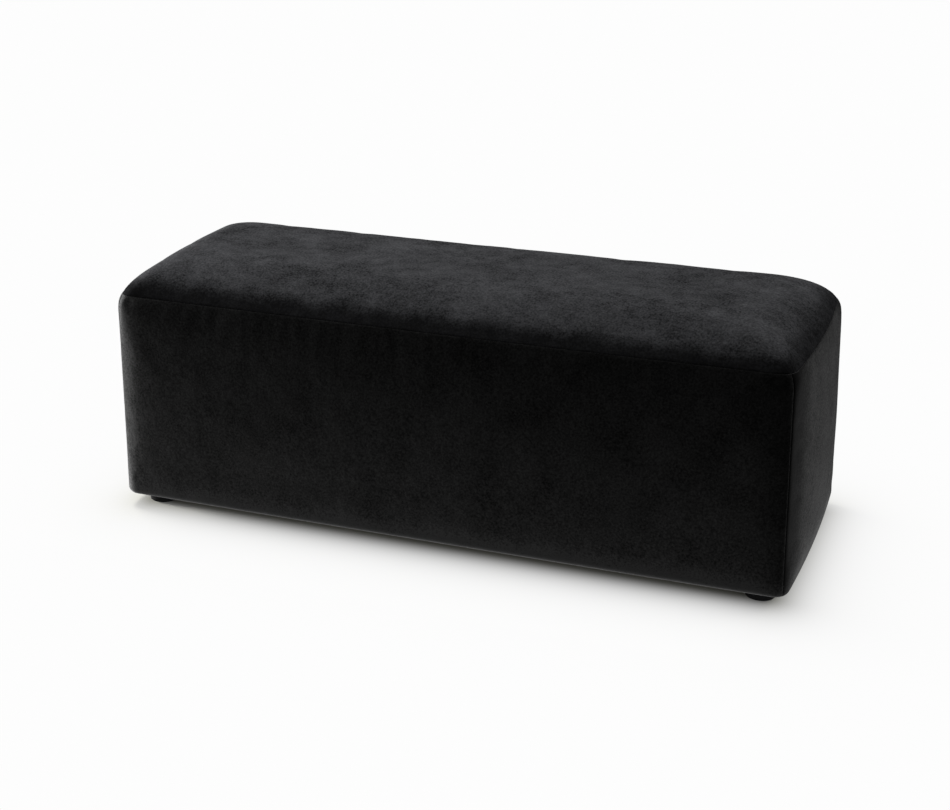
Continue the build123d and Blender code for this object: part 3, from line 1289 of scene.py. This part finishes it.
@dataclass
class Cover:
    """The velvet cover: a top panel sewn to four wall panels whose hems turn under the box.

    The plain rows keep clear of the bottom edge's bend, on both sides. Over the free run above the foot, a
    wall begins to swell and to take slow waves, while a seam's relief keeps at least half its height there.
    The mitre share is what a line's half run lacks at a corner, as a share of the corner's radius.
    """

    form: Form
    cloth: Cloth
    seam: Seam = Seam()
    # painted shade and painted highlight for the velvet
    pile: PaintedPileShade = PaintedPileShade()
    thickness: float = 1.5 * MM
    allowance: float = 12.0 * MM
    step: float = 10.0 * MM
    counts: Counts = Counts(100, 30)
    bend_rows: int = 6
    below_bend: float = 2.0 * MM
    above_bend: float = 4.0 * MM
    free_run: float = 30.0 * MM
    least_free: float = 0.5
    wave: float = 0.5 * MM
    waves: Waves = Waves(130.0 * MM, 5)
    wave_reach: float = 30.0 * MM
    mitre_share: float = 0.2

    def _wall_rows(self) -> Lines:
        """Sets out a wall panel's rows, from the hem's raw edge to its edge tucked into the top seam.

        Returns:
            The rows' places on the profile, and how far each is tucked in.
        """
        form, end = self.form, self.seam.end()
        bend_start = form.hem_width - form.bottom_edge
        hem = Lines.even(0.0, bend_start - self.below_bend, self.step).places
        bend = np.linspace(bend_start, form.foot_arc, self.bend_rows)
        wall = Lines.even(form.foot_arc + self.above_bend, form.seam_arc - end.places[-1], self.step).places
        plain = np.concatenate([hem, bend, wall[:-1]])
        places = np.concatenate([plain, form.seam_arc - end.places[::-1]])
        return Lines(places, np.concatenate([np.zeros(len(plain)), end.tuck[::-1]]))

    def _wall_columns(self, wall: Wall, arc: Array) -> tuple[Array, Array]:
        """Sets out a wall panel's columns on each row.

        The close columns keep their distance from the corner seams, and those between share out what is
        left.

        Args:
            wall: The wall.
            arc: The rows' places on the profile, as a column.

        Returns:
            The places along the wall, rows by columns, and each column's tuck.
        """
        end = self.seam.end()
        reach = end.places[-1]
        half = self.form.half_run(wall, arc)
        cells = max(4, round(2.0 * (float(half.max()) - reach) / self.step))
        between = np.linspace(-1.0, 1.0, cells + 1)[None, 1:-1] * (half - reach)
        places = np.concatenate([-half + end.places[None, :], between, half - end.places[None, ::-1]], axis=1)
        return places, np.concatenate([end.tuck, np.zeros(cells - 1), end.tuck[::-1]])

    def _relief(self, base: Array, normal: Array, distance: Array, tuck: Array, free: Array) -> Array:
        """Adds the seams' relief, slow waves and the tucks to a surface, along its normals.

        Args:
            base: The places.
            normal: Their outward directions.
            distance: Their distance from the nearest seam.
            tuck: How far each is tucked in, in place of the relief.
            free: How much of the relief each takes, from 0 to 1.

        Returns:
            The places with their relief.
        """
        waves = self.wave * self.waves.at(base) * (1.0 - np.exp(-distance / self.wave_reach)) * free
        height = self.seam.height(distance, base) * np.maximum(free, self.least_free) + waves
        height = np.where(tuck > 0.0, -tuck, height)
        return base + normal * height[..., None]

    def wall_panel(self, wall: Wall, material: Material) -> None:
        """Makes one wall panel with its hem.

        Args:
            wall: The wall.
            material: Its velvet.
        """
        form, rows = self.form, self._wall_rows()
        arc = rows.places[:, None]
        along, column_tuck = self._wall_columns(wall, arc)
        half = form.half_run(wall, arc)
        from_corner = half - np.abs(along)
        distance = np.minimum(from_corner, np.abs(form.seam_arc - arc) + self.seam.top_quiet)
        tuck = np.maximum(rows.tuck[:, None], column_tuck[None, :])
        still = tuck > 0.0
        on_profile = np.broadcast_to(arc, along.shape)
        free = smooth_step(on_profile, form.foot_arc - self.below_bend, form.foot_arc + self.free_run)
        base = form.points(wall, arc, along)
        normal = form.normals(wall, arc, along)
        moved = self.cloth.shift(wall, arc, along) * np.where(still, 0.0, free)[..., None]
        points = self._relief(base + moved, normal, distance, tuck, free)
        piece = make_piece(f"velvet_{wall.value}_cloth", points, [grid_faces(*along.shape)], material)
        # painted seam shade: the velvet darkens close by a seam, fully on the tucked edges
        store(piece, "seam_distance", np.where(still, 0.0, distance))
        # painted shade and painted highlight, stored for the velvet
        store(piece, "painted_shade_mask", self.pile.on_wall(form, wall, arc, base, from_corner))
        self._finish(piece, f"velvet_{wall.value}_panel")
        cut = (float(2.0 * half.max()) + 2.0 * self.allowance, float(form.seam_arc) + self.allowance)

    def top_panel(self, material: Material) -> None:
        """Makes the top panel: rings from its tucked edge up to the level middle, and a patch there.

        Args:
            material: Its velvet.
        """
        form, counts, end = self.form, self.counts, self.seam.end()
        above = Lines.even(form.seam_arc + end.places[-1], form.length, self.step).places[1:]
        arc = np.concatenate([form.seam_arc + end.places, above])[:, None]
        tuck = np.concatenate([end.tuck, np.zeros(len(above))])[:, None]
        base = counts.around(form, arc, form.points)
        normal = counts.around(form, arc, form.normals)
        tuck = np.broadcast_to(tuck, base.shape[:2])
        distance = np.broadcast_to(np.abs(arc - form.seam_arc) + self.seam.top_quiet, base.shape[:2])
        moved = counts.around(form, arc, self.cloth.shift) * (tuck == 0.0)[..., None]
        ring = self._relief(base + moved, normal, distance, tuck, np.ones(base.shape[:2]))
        cap = fill_cap(base[-1], counts) + self.cloth.cap_shift(counts)
        upward = np.broadcast_to(np.array([0.0, 0.0, 1.0]), cap.shape)
        far, none = np.full(cap.shape[:2], form.length - form.seam_arc), np.zeros(cap.shape[:2])
        cap = self._relief(cap, upward, far, none, np.ones_like(far))
        faces, _, inside = counts.dome_faces(len(arc))
        piece = make_piece("velvet_top_cloth", join(ring, cap[inside]), faces, material)
        # painted seam shade: the velvet darkens close by a seam, fully on the tucked edges
        store(piece, "seam_distance", join(np.where(tuck > 0.0, 0.0, distance), far[inside]))
        # painted shade and painted highlight, stored for the velvet
        store(piece, "painted_shade_mask", join(self.pile.on_seat(form, base, normal, distance), none[inside]))
        self._finish(piece, "velvet_top_panel")
        rise = form.length - form.seam_arc
        _, _, radius = form.section(np.array([form.length]))
        run = form.half_run(Wall.RIGHT, np.array([form.length]))
        half_width = float(run[0] + radius[0] * self.mitre_share)
        cut = (2.0 * (half_width + rise), 2.0 * (half_width + rise + form.half_length - form.half_width))

    def _finish(self, piece: bpy.types.Object, node: str) -> None:
        """Gives a panel its thickness and smoothness, and puts it in its node's place.

        Args:
            piece: The panel.
            node: The node that it stands for.
        """
        thicken(piece, self.thickness)
        smooth(piece)
        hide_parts(node)
        report(piece)


def closed_shell(outer: Array, inner: Array, ring: bool) -> Skin:
    """Joins an outer and an inner lattice of the same shape into one closed skin.

    Args:
        outer: The outer lattice, rows up and columns to the right as seen from outside.
        inner: The inner one, point for point behind it.
        ring: True if the columns run round and meet.

    Returns:
        The points, and the faces: both lattices, and the strips that join their edges.
    """
    rows, columns = outer.shape[:2]
    count = rows * columns
    skin = grid_faces(rows, columns, ring)
    blocks = [skin, skin[:, ::-1] + count]
    here = np.arange(columns if ring else columns - 1)
    there = (here + 1) % columns
    top = (rows - 1) * columns
    blocks.append(np.stack([here + count, there + count, there, here], axis=1))
    blocks.append(np.stack([here + top, there + top, there + top + count, here + top + count], axis=1))
    if not ring:
        low, high = np.arange(rows - 1) * columns, np.arange(1, rows) * columns
        last = columns - 1
        blocks.append(np.stack([low + count, low, high, high + count], axis=1))
        blocks.append(np.stack([low + last, low + last + count, high + last + count, high + last], axis=1))
    return np.concatenate([outer.reshape(-1, 3), inner.reshape(-1, 3)]), blocks


@dataclass(frozen=True)
class Box:
    """The outside of the timber box under the padding."""

    half_length: float
    half_width: float
    bottom: float
    deck_top: float

    @staticmethod
    def from_frame() -> "Box":
        """Reads the box's sizes off the frame's boards and its deck."""
        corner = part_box("front_board")[0]
        return Box(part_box("right_end_board")[1].x, -corner.y, corner.z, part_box("seat_deck")[1].z)


@dataclass
class Stuffing:
    """What fills the cover: a wadding layer and a wadding wrap, the seat foam and four foam slabs."""

    form: Form
    cloth: Cloth
    box: Box
    wadding_depth: float = 2.3 * MM
    foam_depth: float = 6.7 * MM
    clearance: float = 0.15 * MM
    side_gap: float = 0.6 * MM
    foot_gap: float = 1.5 * MM
    seam_dip: float = 1.6 * MM
    seam_dip_reach: float = 5.0 * MM
    free_run: float = 30.0 * MM
    step: float = 12.0 * MM
    counts: Counts = Counts(90, 28)

    def _under(self, wall: Wall, arc: Array, along: Array, depth: float) -> Array:
        """Places under the cover where the simulation left it.

        They lie depth + dip * exp(-(seam / reach) ** 2) below it, where seam is the distance from the
        nearest seam, whose turned-in edges press in.

        Args:
            wall: The wall.
            arc: The distance up the profile, as a column.
            along: The distance along the line, from the wall's middle.
            depth: How deep they lie away from the seams.

        Returns:
            The places, with X, Y and Z in the last axis.
        """
        form, on_profile = self.form, np.broadcast_to(arc, along.shape)
        fade = smooth_step(on_profile, form.foot_arc, form.foot_arc + self.free_run)
        from_corner = np.where(on_profile < form.seam_arc, form.half_run(wall, arc) - np.abs(along), 1.0)
        seam = np.minimum(np.abs(arc - form.seam_arc), from_corner)
        deep = depth + self.seam_dip * np.exp(-((seam / self.seam_dip_reach) ** 2))
        moved = form.points(wall, arc, along) + self.cloth.shift(wall, arc, along) * fade[..., None]
        return moved - form.normals(wall, arc, along) * deep[..., None]

    def _ring(self, arc: Array, depth: float) -> Array:
        """Rings right round the block at a depth."""
        return self.counts.around(self.form, arc, partial(self._under, depth=depth))

    def _rows(self, low: float, high: float) -> Array:
        """Rows between two heights of the wall, as a column of places on the profile."""
        return Lines.even(self.form.arc_at(low), self.form.arc_at(high), self.step).places[:, None]

    def _dome(self, depth: float) -> tuple[Array, Array]:
        """The rings over the seat at a depth, and the patch that fills the last of them.

        The patch takes up the cover's move inside its border, because the last ring has moved already.

        Args:
            depth: How deep they lie under the cover.

        Returns:
            The rings' points and the patch's points.
        """
        low = self.form.arc_at(self.box.deck_top + depth)
        rings = self._ring(Lines.even(low, self.form.length, self.step).places[:, None], depth)
        rings[0, :, 2] = self.box.deck_top + self.clearance
        shift = self.cloth.cap_shift(self.counts)
        numbers = self.counts.cap_border()
        border = np.empty((self.counts.total, 3))
        border[numbers[numbers >= 0]] = shift[numbers >= 0]
        return rings, fill_cap(rings[-1], self.counts) + shift - fill_cap(border, self.counts)

    def _pad(self, name: str, node: str, skin: Skin, finish: Material) -> None:
        """Makes one padded piece in the place of its node.

        Args:
            name: The piece's name.
            node: The node that it stands for.
            skin: Its points and its faces.
            finish: Its material.
        """
        piece = make_piece(name, *skin, finish)
        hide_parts(node)
        report(piece)

    def wall_wrap(self, finish: Material) -> None:
        """Makes the wadding wrap round the four walls.

        Args:
            finish: The wadding's material.
        """
        deck_top = self.box.deck_top
        arc = self._rows(self.box.bottom + self.wadding_depth + self.foot_gap, deck_top)
        outer, inner = self._ring(arc, self.wadding_depth), self._ring(arc, self.foam_depth - self.clearance)
        outer[-1, :, 2] = inner[-1, :, 2] = deck_top
        skin = closed_shell(outer, inner, ring=True)
        self._pad("wall_wadding_wrap", "wall_wadding", skin, finish)

    def wall_slab(self, wall: Wall, finish: Material) -> None:
        """Makes the foam slab on one wall: full at the cover's side, flat against the box.

        Args:
            wall: The wall.
            finish: The foam's material.
        """
        arc = self._rows(self.box.bottom + self.foam_depth + self.foot_gap, self.box.deck_top)
        half = self.form.half_run(wall, arc)
        share = np.linspace(-1.0, 1.0, round(2.0 * float(half.max()) / self.step))[None, :]
        outer = self._under(wall, arc, share * (half - self.side_gap), self.foam_depth)
        outer[-1, :, 2] = self.box.deck_top
        long, short = self.box.half_length, self.box.half_width
        reach, off = (long, short) if wall.is_long else (short, long)
        x, y = wall.place(share * reach, np.full_like(share, off + self.clearance))
        inner = np.stack(np.broadcast_arrays(x, y, outer[..., 2]), axis=-1)
        skin = closed_shell(outer, inner, ring=False)
        self._pad(f"{wall.value}_foam_slab", f"{wall.value}_foam_pad", skin, finish)

    def seat_layer(self, finish: Material) -> None:
        """Makes the wadding layer over the seat foam: two domes joined along their rims.

        Args:
            finish: The wadding's material.
        """
        outer_rings, outer_cap = self._dome(self.wadding_depth)
        inner_rings, inner_cap = self._dome(self.foam_depth - self.clearance)
        rows = min(len(outer_rings), len(inner_rings))
        outer_rings, inner_rings = outer_rings[-rows:], inner_rings[-rows:]
        outer_rings[0, :, 2] = inner_rings[0, :, 2] = self.box.deck_top + self.clearance
        skin, _, inside = self.counts.dome_faces(rows)
        outer, inner = join(outer_rings, outer_cap[inside]), join(inner_rings, inner_cap[inside])
        count, here = len(outer), np.arange(self.counts.total)
        there = (here + 1) % self.counts.total
        rim = np.stack([here + count, there + count, there, here], axis=1)
        faces = [*skin, *(block[:, ::-1] + count for block in skin), rim]
        points = np.concatenate([outer, inner])
        self._pad("seat_wadding_layer", "seat_wadding", (points, faces), finish)

    def seat_block(self, finish: Material) -> None:
        """Makes the thick seat foam: crowned above, flat on the deck.

        Args:
            finish: The foam's material.
        """
        rings, cap = self._dome(self.foam_depth)
        skin, _, inside = self.counts.dome_faces(len(rings))
        crowned = join(rings, cap[inside])
        under, _ = self.counts.cap_numbers(0, len(crowned))
        points = np.concatenate([crowned, fill_cap(rings[0], self.counts)[inside]])
        faces = [*skin, patch_faces(under)[:, ::-1]]
        self._pad("seat_foam_block", "seat_foam", (points, faces), finish)

    def build(self, wadding: Material, foam: Material) -> None:
        """Makes everything that fills the cover.

        Args:
            wadding: The wadding's material.
            foam: The foam's material.
        """
        self.wall_wrap(wadding)
        for wall in Wall:
            self.wall_slab(wall, foam)
        self.seat_block(foam)
        self.seat_layer(wadding)


@dataclass
class DustCover:
    """The thin black cloth under the box, folded at its edge and stapled over the hems."""

    half_length: float
    half_width: float
    height: float
    box: Box
    corner: float = 12.0 * MM
    thickness: float = 0.6 * MM
    step: float = 9.0 * MM
    sag: float = 4.0 * MM
    rail_reach: float = 40.0 * MM
    staple_pitch: float = 70.0 * MM
    pull: float = 0.45 * MM
    pull_reach: float = 20.0 * MM
    corner_block: tuple[float, float] = (100.0 * MM, 70.0 * MM)
    crease: float = 0.9 * MM
    creases: Waves = Waves(120.0 * MM, 3)
    crease_stretch: Triple = (1.0, 2.5, 1.0)
    fold: float = 11.0 * MM
    fold_rise: float = 0.3 * MM
    fold_run: float = 6.0 * MM

    def _lattice(self) -> tuple[Array, Array]:
        """Spreads the lattice out, its rows from back to front so that it faces down.

        A point in a corner is drawn in on a circle: its two distances past the circle's middle are scaled by
        the larger of them over their length.

        Returns:
            The X and the Y of each point.
        """
        columns = np.linspace(-1.0, 1.0, round(2.0 * self.half_length / self.step) + 1) * self.half_length
        rows = np.linspace(1.0, -1.0, round(2.0 * self.half_width / self.step) + 1) * self.half_width
        y, x = np.meshgrid(rows, columns, indexing="ij")
        past_x = np.clip(np.abs(x) - (self.half_length - self.corner), 0.0, None)
        past_y = np.clip(np.abs(y) - (self.half_width - self.corner), 0.0, None)
        both = np.hypot(past_x, past_y)
        scale = np.where(both > 0.0, np.maximum(past_x, past_y) / np.maximum(both, 1e-9), 1.0)
        return x - np.sign(x) * past_x * (1.0 - scale), y - np.sign(y) * past_y * (1.0 - scale)

    def _height(self, x: Array, y: Array) -> Array:
        """Works out how the cloth hangs.

        It sags between the rails by sag * (1 - u**2) * (1 - v**2) with a few creases, and hangs a little
        between the staples, as 0.5 - 0.5 * cos(2 * pi * place / pitch), which fades with the distance from
        the edge. It lies flat under the corner posts, and its folded edge is a little thicker.

        Args:
            x: The X of each point.
            y: The Y of each point.

        Returns:
            The Z of each point.
        """
        u = np.clip(np.abs(x) / (self.box.half_length - self.rail_reach), 0.0, 1.0)
        v = np.clip(np.abs(y) / (self.box.half_width - self.rail_reach), 0.0, 1.0)
        middle = (1.0 - u**2) * (1.0 - v**2)
        from_end, from_side = self.half_length - np.abs(x), self.half_width - np.abs(y)
        edge = np.minimum(from_end, from_side)
        hang = 0.5 - 0.5 * np.cos(2.0 * np.pi * np.where(from_side < from_end, x, y) / self.staple_pitch)
        far, near = self.corner_block
        by_end = smooth_step(np.abs(x), self.half_length - far, self.half_length - near)
        by_side = smooth_step(np.abs(y), self.half_width - far, self.half_width - near)
        flat = np.stack([x, y, np.zeros_like(x)], axis=-1)
        creases = self.crease * self.creases.at(flat * np.array(self.crease_stretch)) * middle**0.5
        fold = self.fold_rise * smooth_step(-edge, -self.fold - self.fold_run, -self.fold)
        drop = self.sag * middle + self.pull * hang * np.exp(-edge / self.pull_reach) + fold
        return np.minimum(self.height - (drop - creases) * (1.0 - by_end * by_side), self.height)

    def build(self, material: Material) -> None:
        """Makes the cloth.

        Args:
            material: Its finish.
        """
        x, y = self._lattice()
        points = np.stack([x, y, self._height(x, y)], axis=-1)
        piece = make_piece("dust_cloth_underneath", points, [grid_faces(*x.shape)], material)
        thicken(piece, self.thickness)
        smooth(piece)
        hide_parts("dust_cover")
        hem = 2.0 * self.fold
        cut = (2.0 * self.half_width + 2.0 * hem, 2.0 * self.half_length + 2.0 * hem)
        report(piece)


@dataclass
class Feet:
    """The four low round feet: each is turned from a profile, with its felt pad in a shallow recess below."""

    finish: Material
    radius: float = 25.6 * MM
    rim: float = 2.2 * MM
    shoulder: float = 1.2 * MM
    recess: float = 19.6 * MM
    ground: float = 0.8 * MM
    edge: float = 0.4 * MM
    bend_points: int = 7
    segments: int = 72

    def profile(self, low: float, high: float) -> Array:
        """The foot's section: from its middle below, over the recess, round the rim, up the side and back in.

        The rim and the shoulder are quarter circles.

        Args:
            low: The height of the recess's ceiling, which the pad touches.
            high: The height of the foot's top.

        Returns:
            The distance from the axis and the height of each point.
        """
        turn = np.linspace(0.0, QUARTER_TURN, self.bend_points)
        rim_out = self.radius - self.rim * (1.0 - np.sin(turn))
        rim_up = self.ground + self.rim * (1.0 - np.cos(turn))
        shoulder_out = self.radius - self.shoulder * (1.0 - np.cos(turn))
        shoulder_up = high - self.shoulder * (1.0 - np.sin(turn))
        lip = [(self.recess, self.ground + self.edge), (self.recess + self.edge, self.ground)]
        below = [(self.edge, low), (self.recess - self.edge, low), (self.recess, low - self.edge), *lip]
        rim, shoulder = np.stack([rim_out, rim_up], axis=1), np.stack([shoulder_out, shoulder_up], axis=1)
        return np.concatenate([below, rim, shoulder, [(self.edge, high)]])

    def build(self) -> None:
        """Turns each foot's section about the foot's own axis: x = r * cos(angle) and y = r * sin(angle)."""
        angle = np.linspace(0.0, 2.0 * np.pi, self.segments, endpoint=False)
        feet = (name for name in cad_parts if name.startswith("foot_") and "screws" not in name)
        for node in sorted(feet):
            low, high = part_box(node)
            section = self.profile(low.z, high.z)
            middle = (low + high) / 2.0
            out, up = section[:, :1], np.broadcast_to(section[:, 1:], (len(section), self.segments))
            points = np.stack([middle.x + out * np.cos(angle), middle.y + out * np.sin(angle), up], axis=-1)
            ring = np.arange(self.segments)[None, :]
            caps = [ring[:, ::-1], ring + (len(section) - 1) * self.segments]
            faces = [grid_faces(*up.shape, closed=True), *caps]
            piece = make_piece(f"turned_{node}", points, faces, self.finish)
            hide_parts(node)
            report(piece)


@dataclass
class Hardware:
    """The frame's own pieces that stay: timber, felt pads and fasteners, each known by a part of its name."""

    finishes: dict[str, Material]
    slots: tuple[tuple[str, str], ...] = (
        ("corner_post", "pine"),
        ("base_rail", "pine"),
        ("partition", "plywood"),
        ("board", "plywood"),
        ("seat_deck", "plywood"),
        ("screws", "zinc"),
        ("staples", "zinc"),
        ("felt_pad", "felt"),
    )

    def dress(self) -> None:
        """Puts each kept node's finish into its material slots."""
        for name, node in sorted(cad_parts.items()):
            if node.hide_render:
                continue
            slot = next((slot for part, slot in self.slots if part in name), None)
            if slot is None:
                continue
            node.data.materials.clear()
            node.data.materials.append(self.finishes[slot])
            log.info("%s: %s", name, slot)


@dataclass(frozen=True)
class Lamp:
    """One soft lamp: where it hangs, its size, its power in watts, its colour and what it faces."""

    name: str
    place: Triple
    size: tuple[float, float]
    power: float
    colour: Colour = (1.0, 1.0, 1.0)
    aim: Triple = (0.0, 0.0, 0.25)


@dataclass
class Studio:
    """A white floor and a white surround, four soft lamps and the camera where the photograph was taken.

    The footprint is half the sides of a rectangle under the bench, from which the floor's painted shadow and
    glow fade. Distances are in metres, angles in radians, and the focal length is in pixels of the frame's
    width.
    """

    ambient: float = 0.01
    lamps: tuple[Lamp, ...] = (
        Lamp("key_lamp", (-1.8, 0.55, 3.3), (1.0, 1.0), 96.0),
        Lamp("edge_lamp", (-2.3, -0.1, 0.22), (0.4, 0.25), 82.0),
        Lamp("fill_lamp", (2.3, 1.1, 1.3), (0.9, 0.9), 23.0),
        Lamp("low_lamp", (-0.1, -0.42, 0.035), (2.0, 0.04), 0.6, aim=(-0.1, -0.2, 0.1)),
    )
    # the board's colour, seen directly only within the painted shadow's fade close by the bench
    floor_colour: Colour = (0.62, 0.612, 0.52)
    dull_colour: Colour = (0.37, 0.37, 0.37)
    cloud_size: float = 0.7
    cloud_share: float = 0.05
    glow: float = 0.4
    glow_reach: float = 0.25
    close_glow: float = 0.55
    close_reach: float = 0.07
    quiet_share: float = 0.7
    quiet_run: tuple[float, float] = (0.45, 0.75)
    white: Colour = (0.983, 0.983, 0.983)
    floor_half: float = 9.0
    floor_lines: int = 13
    footprint: tuple[float, float] = (0.556, 0.169)
    near_shadow: float = 0.027
    shadow_power: float = 3.0
    far_shadow: float = 0.09
    far_share: float = 0.16
    frame_width: float = 950.0
    focal_pixels: float = 1694.88
    sensor: float = 36.0
    sight_end: float = 60.0
    place: Triple = (0.9800, -2.5901, 1.3186)
    yaw: float = 0.36304
    pitch: float = 0.38599
    roll: float = -0.00899

    def camera(self) -> None:
        """Sets the camera, turned left by the yaw, down by the pitch and about its sight by the roll."""
        data = bpy.data.cameras.new("camera")
        data.sensor_width = self.sensor
        data.lens = self.focal_pixels * self.sensor / self.frame_width
        data.clip_end = self.sight_end
        camera = bpy.data.objects.new("camera", data)
        bpy.context.scene.collection.objects.link(camera)
        sight = Vector((-math.sin(self.yaw), math.cos(self.yaw), 0.0)) * math.cos(self.pitch)
        sight.z = -math.sin(self.pitch)
        right = Vector((math.cos(self.yaw), math.sin(self.yaw), 0.0))
        up = right.cross(sight)
        turned_right = right * math.cos(self.roll) + up * math.sin(self.roll)
        turned_up = up * math.cos(self.roll) - right * math.sin(self.roll)
        turn = Matrix((turned_right, turned_up, -sight)).transposed().to_4x4()
        camera.matrix_world = Matrix.Translation(self.place) @ turn
        bpy.context.scene.camera = camera

    def floor_finish(self) -> Material:
        """White board that shows the bench's shadow close by and fades into the pure white surround. The
        shadow is partly real shading of the board and partly painted shadow: a fade from a rectangle under
        the bench, not the lamps, sets how far it reaches, and the board, darker than the white, darkens the
        floor toward the bench.

        Over the distance from that rectangle, the fade is (1 - exp(-distance / near)) ** 3, less a share that
        falls off slowly as exp(-distance / far). What isn't seen directly is a duller board, with a glow that
        falls off as exp(-distance / reach), is quieter past the right end, and lights the bench from below.
        The board has no underside, so that the bench can be seen from below.

        Returns:
            The finished material.
        """
        graph = Graph.of_material("white_floor")
        place = graph.object_place()
        split = graph.node("ShaderNodeSeparateXYZ", {}, {"Vector": place})
        past = [
            graph.maths("MAXIMUM", graph.maths("ABSOLUTE", split.out(axis)) - half, 0.0)
            for axis, half in zip(("X", "Y"), self.footprint)
        ]
        distance = graph.maths("SQRT", past[0] * past[0] + past[1] * past[1])
        # painted shadow: the fade from the rectangle, not the lamps, sets how far the bench's shadow reaches
        rise = graph.maths("POWER", 1.0 - graph.fading(distance, self.near_shadow), self.shadow_power)
        tail = 1.0 - graph.fading(distance, self.far_shadow) * self.far_share
        seen = graph.seen_directly()
        quiet_end = 1.0 - graph.between(split.out("X"), *self.quiet_run) * self.quiet_share
        glow = graph.fading(distance, self.glow_reach) * quiet_end * self.glow
        glow = glow + graph.fading(distance, self.close_reach) * self.close_glow
        shown = rise * tail * seen + glow * (1.0 - seen)
        clouds = graph.noise(place, self.cloud_size, detail=1.0, roughness=0.5)
        tone = clouds * self.cloud_share + seen * (1.0 - self.cloud_share)
        colour = graph.blend(tone, self.dull_colour, self.floor_colour)
        board = graph.node("ShaderNodeBsdfDiffuse", {}, {"Color": colour})
        white = graph.node("ShaderNodeEmission", {}, {"Color": (*self.white, 1.0), "Strength": 1.0})
        board_or_white = graph.mixed(shown, board.out(), white.out())
        nothing = graph.node("ShaderNodeBsdfTransparent", {}, {})
        from_below = graph.node("ShaderNodeNewGeometry", {}, {}).out("Backfacing")
        return graph.shown(graph.mixed(from_below, board_or_white, nothing.out()))

    def floor(self) -> None:
        """Lays a large white floor."""
        side = np.linspace(-self.floor_half, self.floor_half, self.floor_lines)
        y, x = np.meshgrid(side, side, indexing="ij")
        mesh = bpy.data.meshes.new("floor")
        points = np.stack([x, y, np.zeros_like(x)], axis=-1).reshape(-1, 3)
        mesh.from_pydata(points, [], grid_faces(*x.shape).tolist())
        mesh.materials.append(self.floor_finish())
        floor = bpy.data.objects.new("floor", mesh)
        bpy.context.scene.collection.objects.link(floor)

    def surround(self) -> None:
        """Lights the scene evenly from all sides, and shows pure white to the camera and in reflections."""
        world = bpy.data.worlds.new("surround")
        bpy.context.scene.world = world
        graph = Graph(world)
        strength = graph.seen_directly() * (1.0 - self.ambient) + self.ambient
        light = graph.node("ShaderNodeBackground", {}, {"Color": (*self.white, 1.0), "Strength": strength})
        graph.node("ShaderNodeOutputWorld", {}, {"Surface": light.out()})

    def hang(self, lamp: Lamp) -> None:
        """Hangs one lamp, which the camera doesn't see.

        Args:
            lamp: The lamp.
        """
        data = bpy.data.lights.new(lamp.name, "AREA")
        data.shape = "RECTANGLE"
        data.size, data.size_y = lamp.size
        data.energy = lamp.power
        data.color = lamp.colour
        hung = bpy.data.objects.new(lamp.name, data)
        hung.visible_camera = False
        bpy.context.scene.collection.objects.link(hung)
        turn = (Vector(lamp.aim) - Vector(lamp.place)).to_track_quat("-Z", "Y").to_matrix().to_4x4()
        hung.matrix_world = Matrix.Translation(lamp.place) @ turn

    def build(self) -> None:
        """Sets up the whole studio."""
        self.camera()
        self.floor()
        self.surround()
        for lamp in self.lamps:
            self.hang(lamp)
        bpy.context.scene.view_settings.view_transform = "Standard"


def finishes() -> dict[str, Material]:
    """Makes the finish of every material slot, with one velvet for the seat and one for the walls, the seat's
    copy painted several times lighter as painted light.

    Returns:
        The materials by the names used here.
    """
    made = {
        "pine": Timber("planed_pine", (0.66, 0.47, 0.28), (0.52, 0.33, 0.17), grain_axis=(2.0, 2.0, 2.0)),
        "plywood": Timber("sanded_plywood", (0.62, 0.46, 0.3), (0.5, 0.35, 0.21), grain_axis=(1.0, 3.0, 3.0)),
        "zinc": ZincSteel(),
        "felt": Felt(),
        "foot_plastic": Plastic(),
        "dust_cloth": SpunCloth(),
        "foam": Padding("seat_foam_cells", (0.86, 0.8, 0.62), (0.7, 0.62, 0.43), 1.6 * MM, (1.0, 1.0, 1.0)),
        "wadding": Padding("loose_wadding", (0.88, 0.88, 0.86), (0.7, 0.7, 0.69), 3.0 * MM, (1.0, 4.0, 4.0)),
        # painted light: the seat's copy has a ground and raised colour about six times lighter than the
        # walls', with far less sheen
        "lit_seat_velvet": Velvet(
            Nap.ALONG_SEAT,
            ground=(0.0105, 0.0105, 0.011),
            raised=(0.102, 0.103, 0.109),
            sheen=0.012,
            weights=(0.24, 0.2, 0.56),
        ),
        "wall_velvet": Velvet(
            Nap.DOWN_WALL,
            ground=(0.0015, 0.0015, 0.0015),
            raised=(0.018, 0.018, 0.018),
            sheen=0.3,
            weights=(0.22, 0.1, 0.68),
        ),
    }
    return {name: finish.material() for name, finish in made.items()}


def main() -> None:
    """Builds the studio, the cover, its filling, the dust cover and the feet, and dresses the rest."""
    logging.basicConfig(level=logging.INFO, format="%(name)s: %(message)s")
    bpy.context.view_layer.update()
    Studio().build()
    form, box, shared = Form.from_frame(), Box.from_frame(), finishes()
    cloth = Cloth(form)
    cloth.run()
    Stuffing(form, cloth, box).build(shared["wadding"], shared["foam"])
    cover = Cover(form, cloth)
    cover.top_panel(shared["lit_seat_velvet"])
    for wall in Wall:
        cover.wall_panel(wall, shared["wall_velvet"])
    dust_low, dust_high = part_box("dust_cover")
    DustCover(dust_high.x, dust_high.y, dust_low.z, box).build(shared["dust_cloth"])
    Feet(shared["foot_plastic"]).build()
    Hardware(shared).dress()


if __name__ == "__main__":
    main()
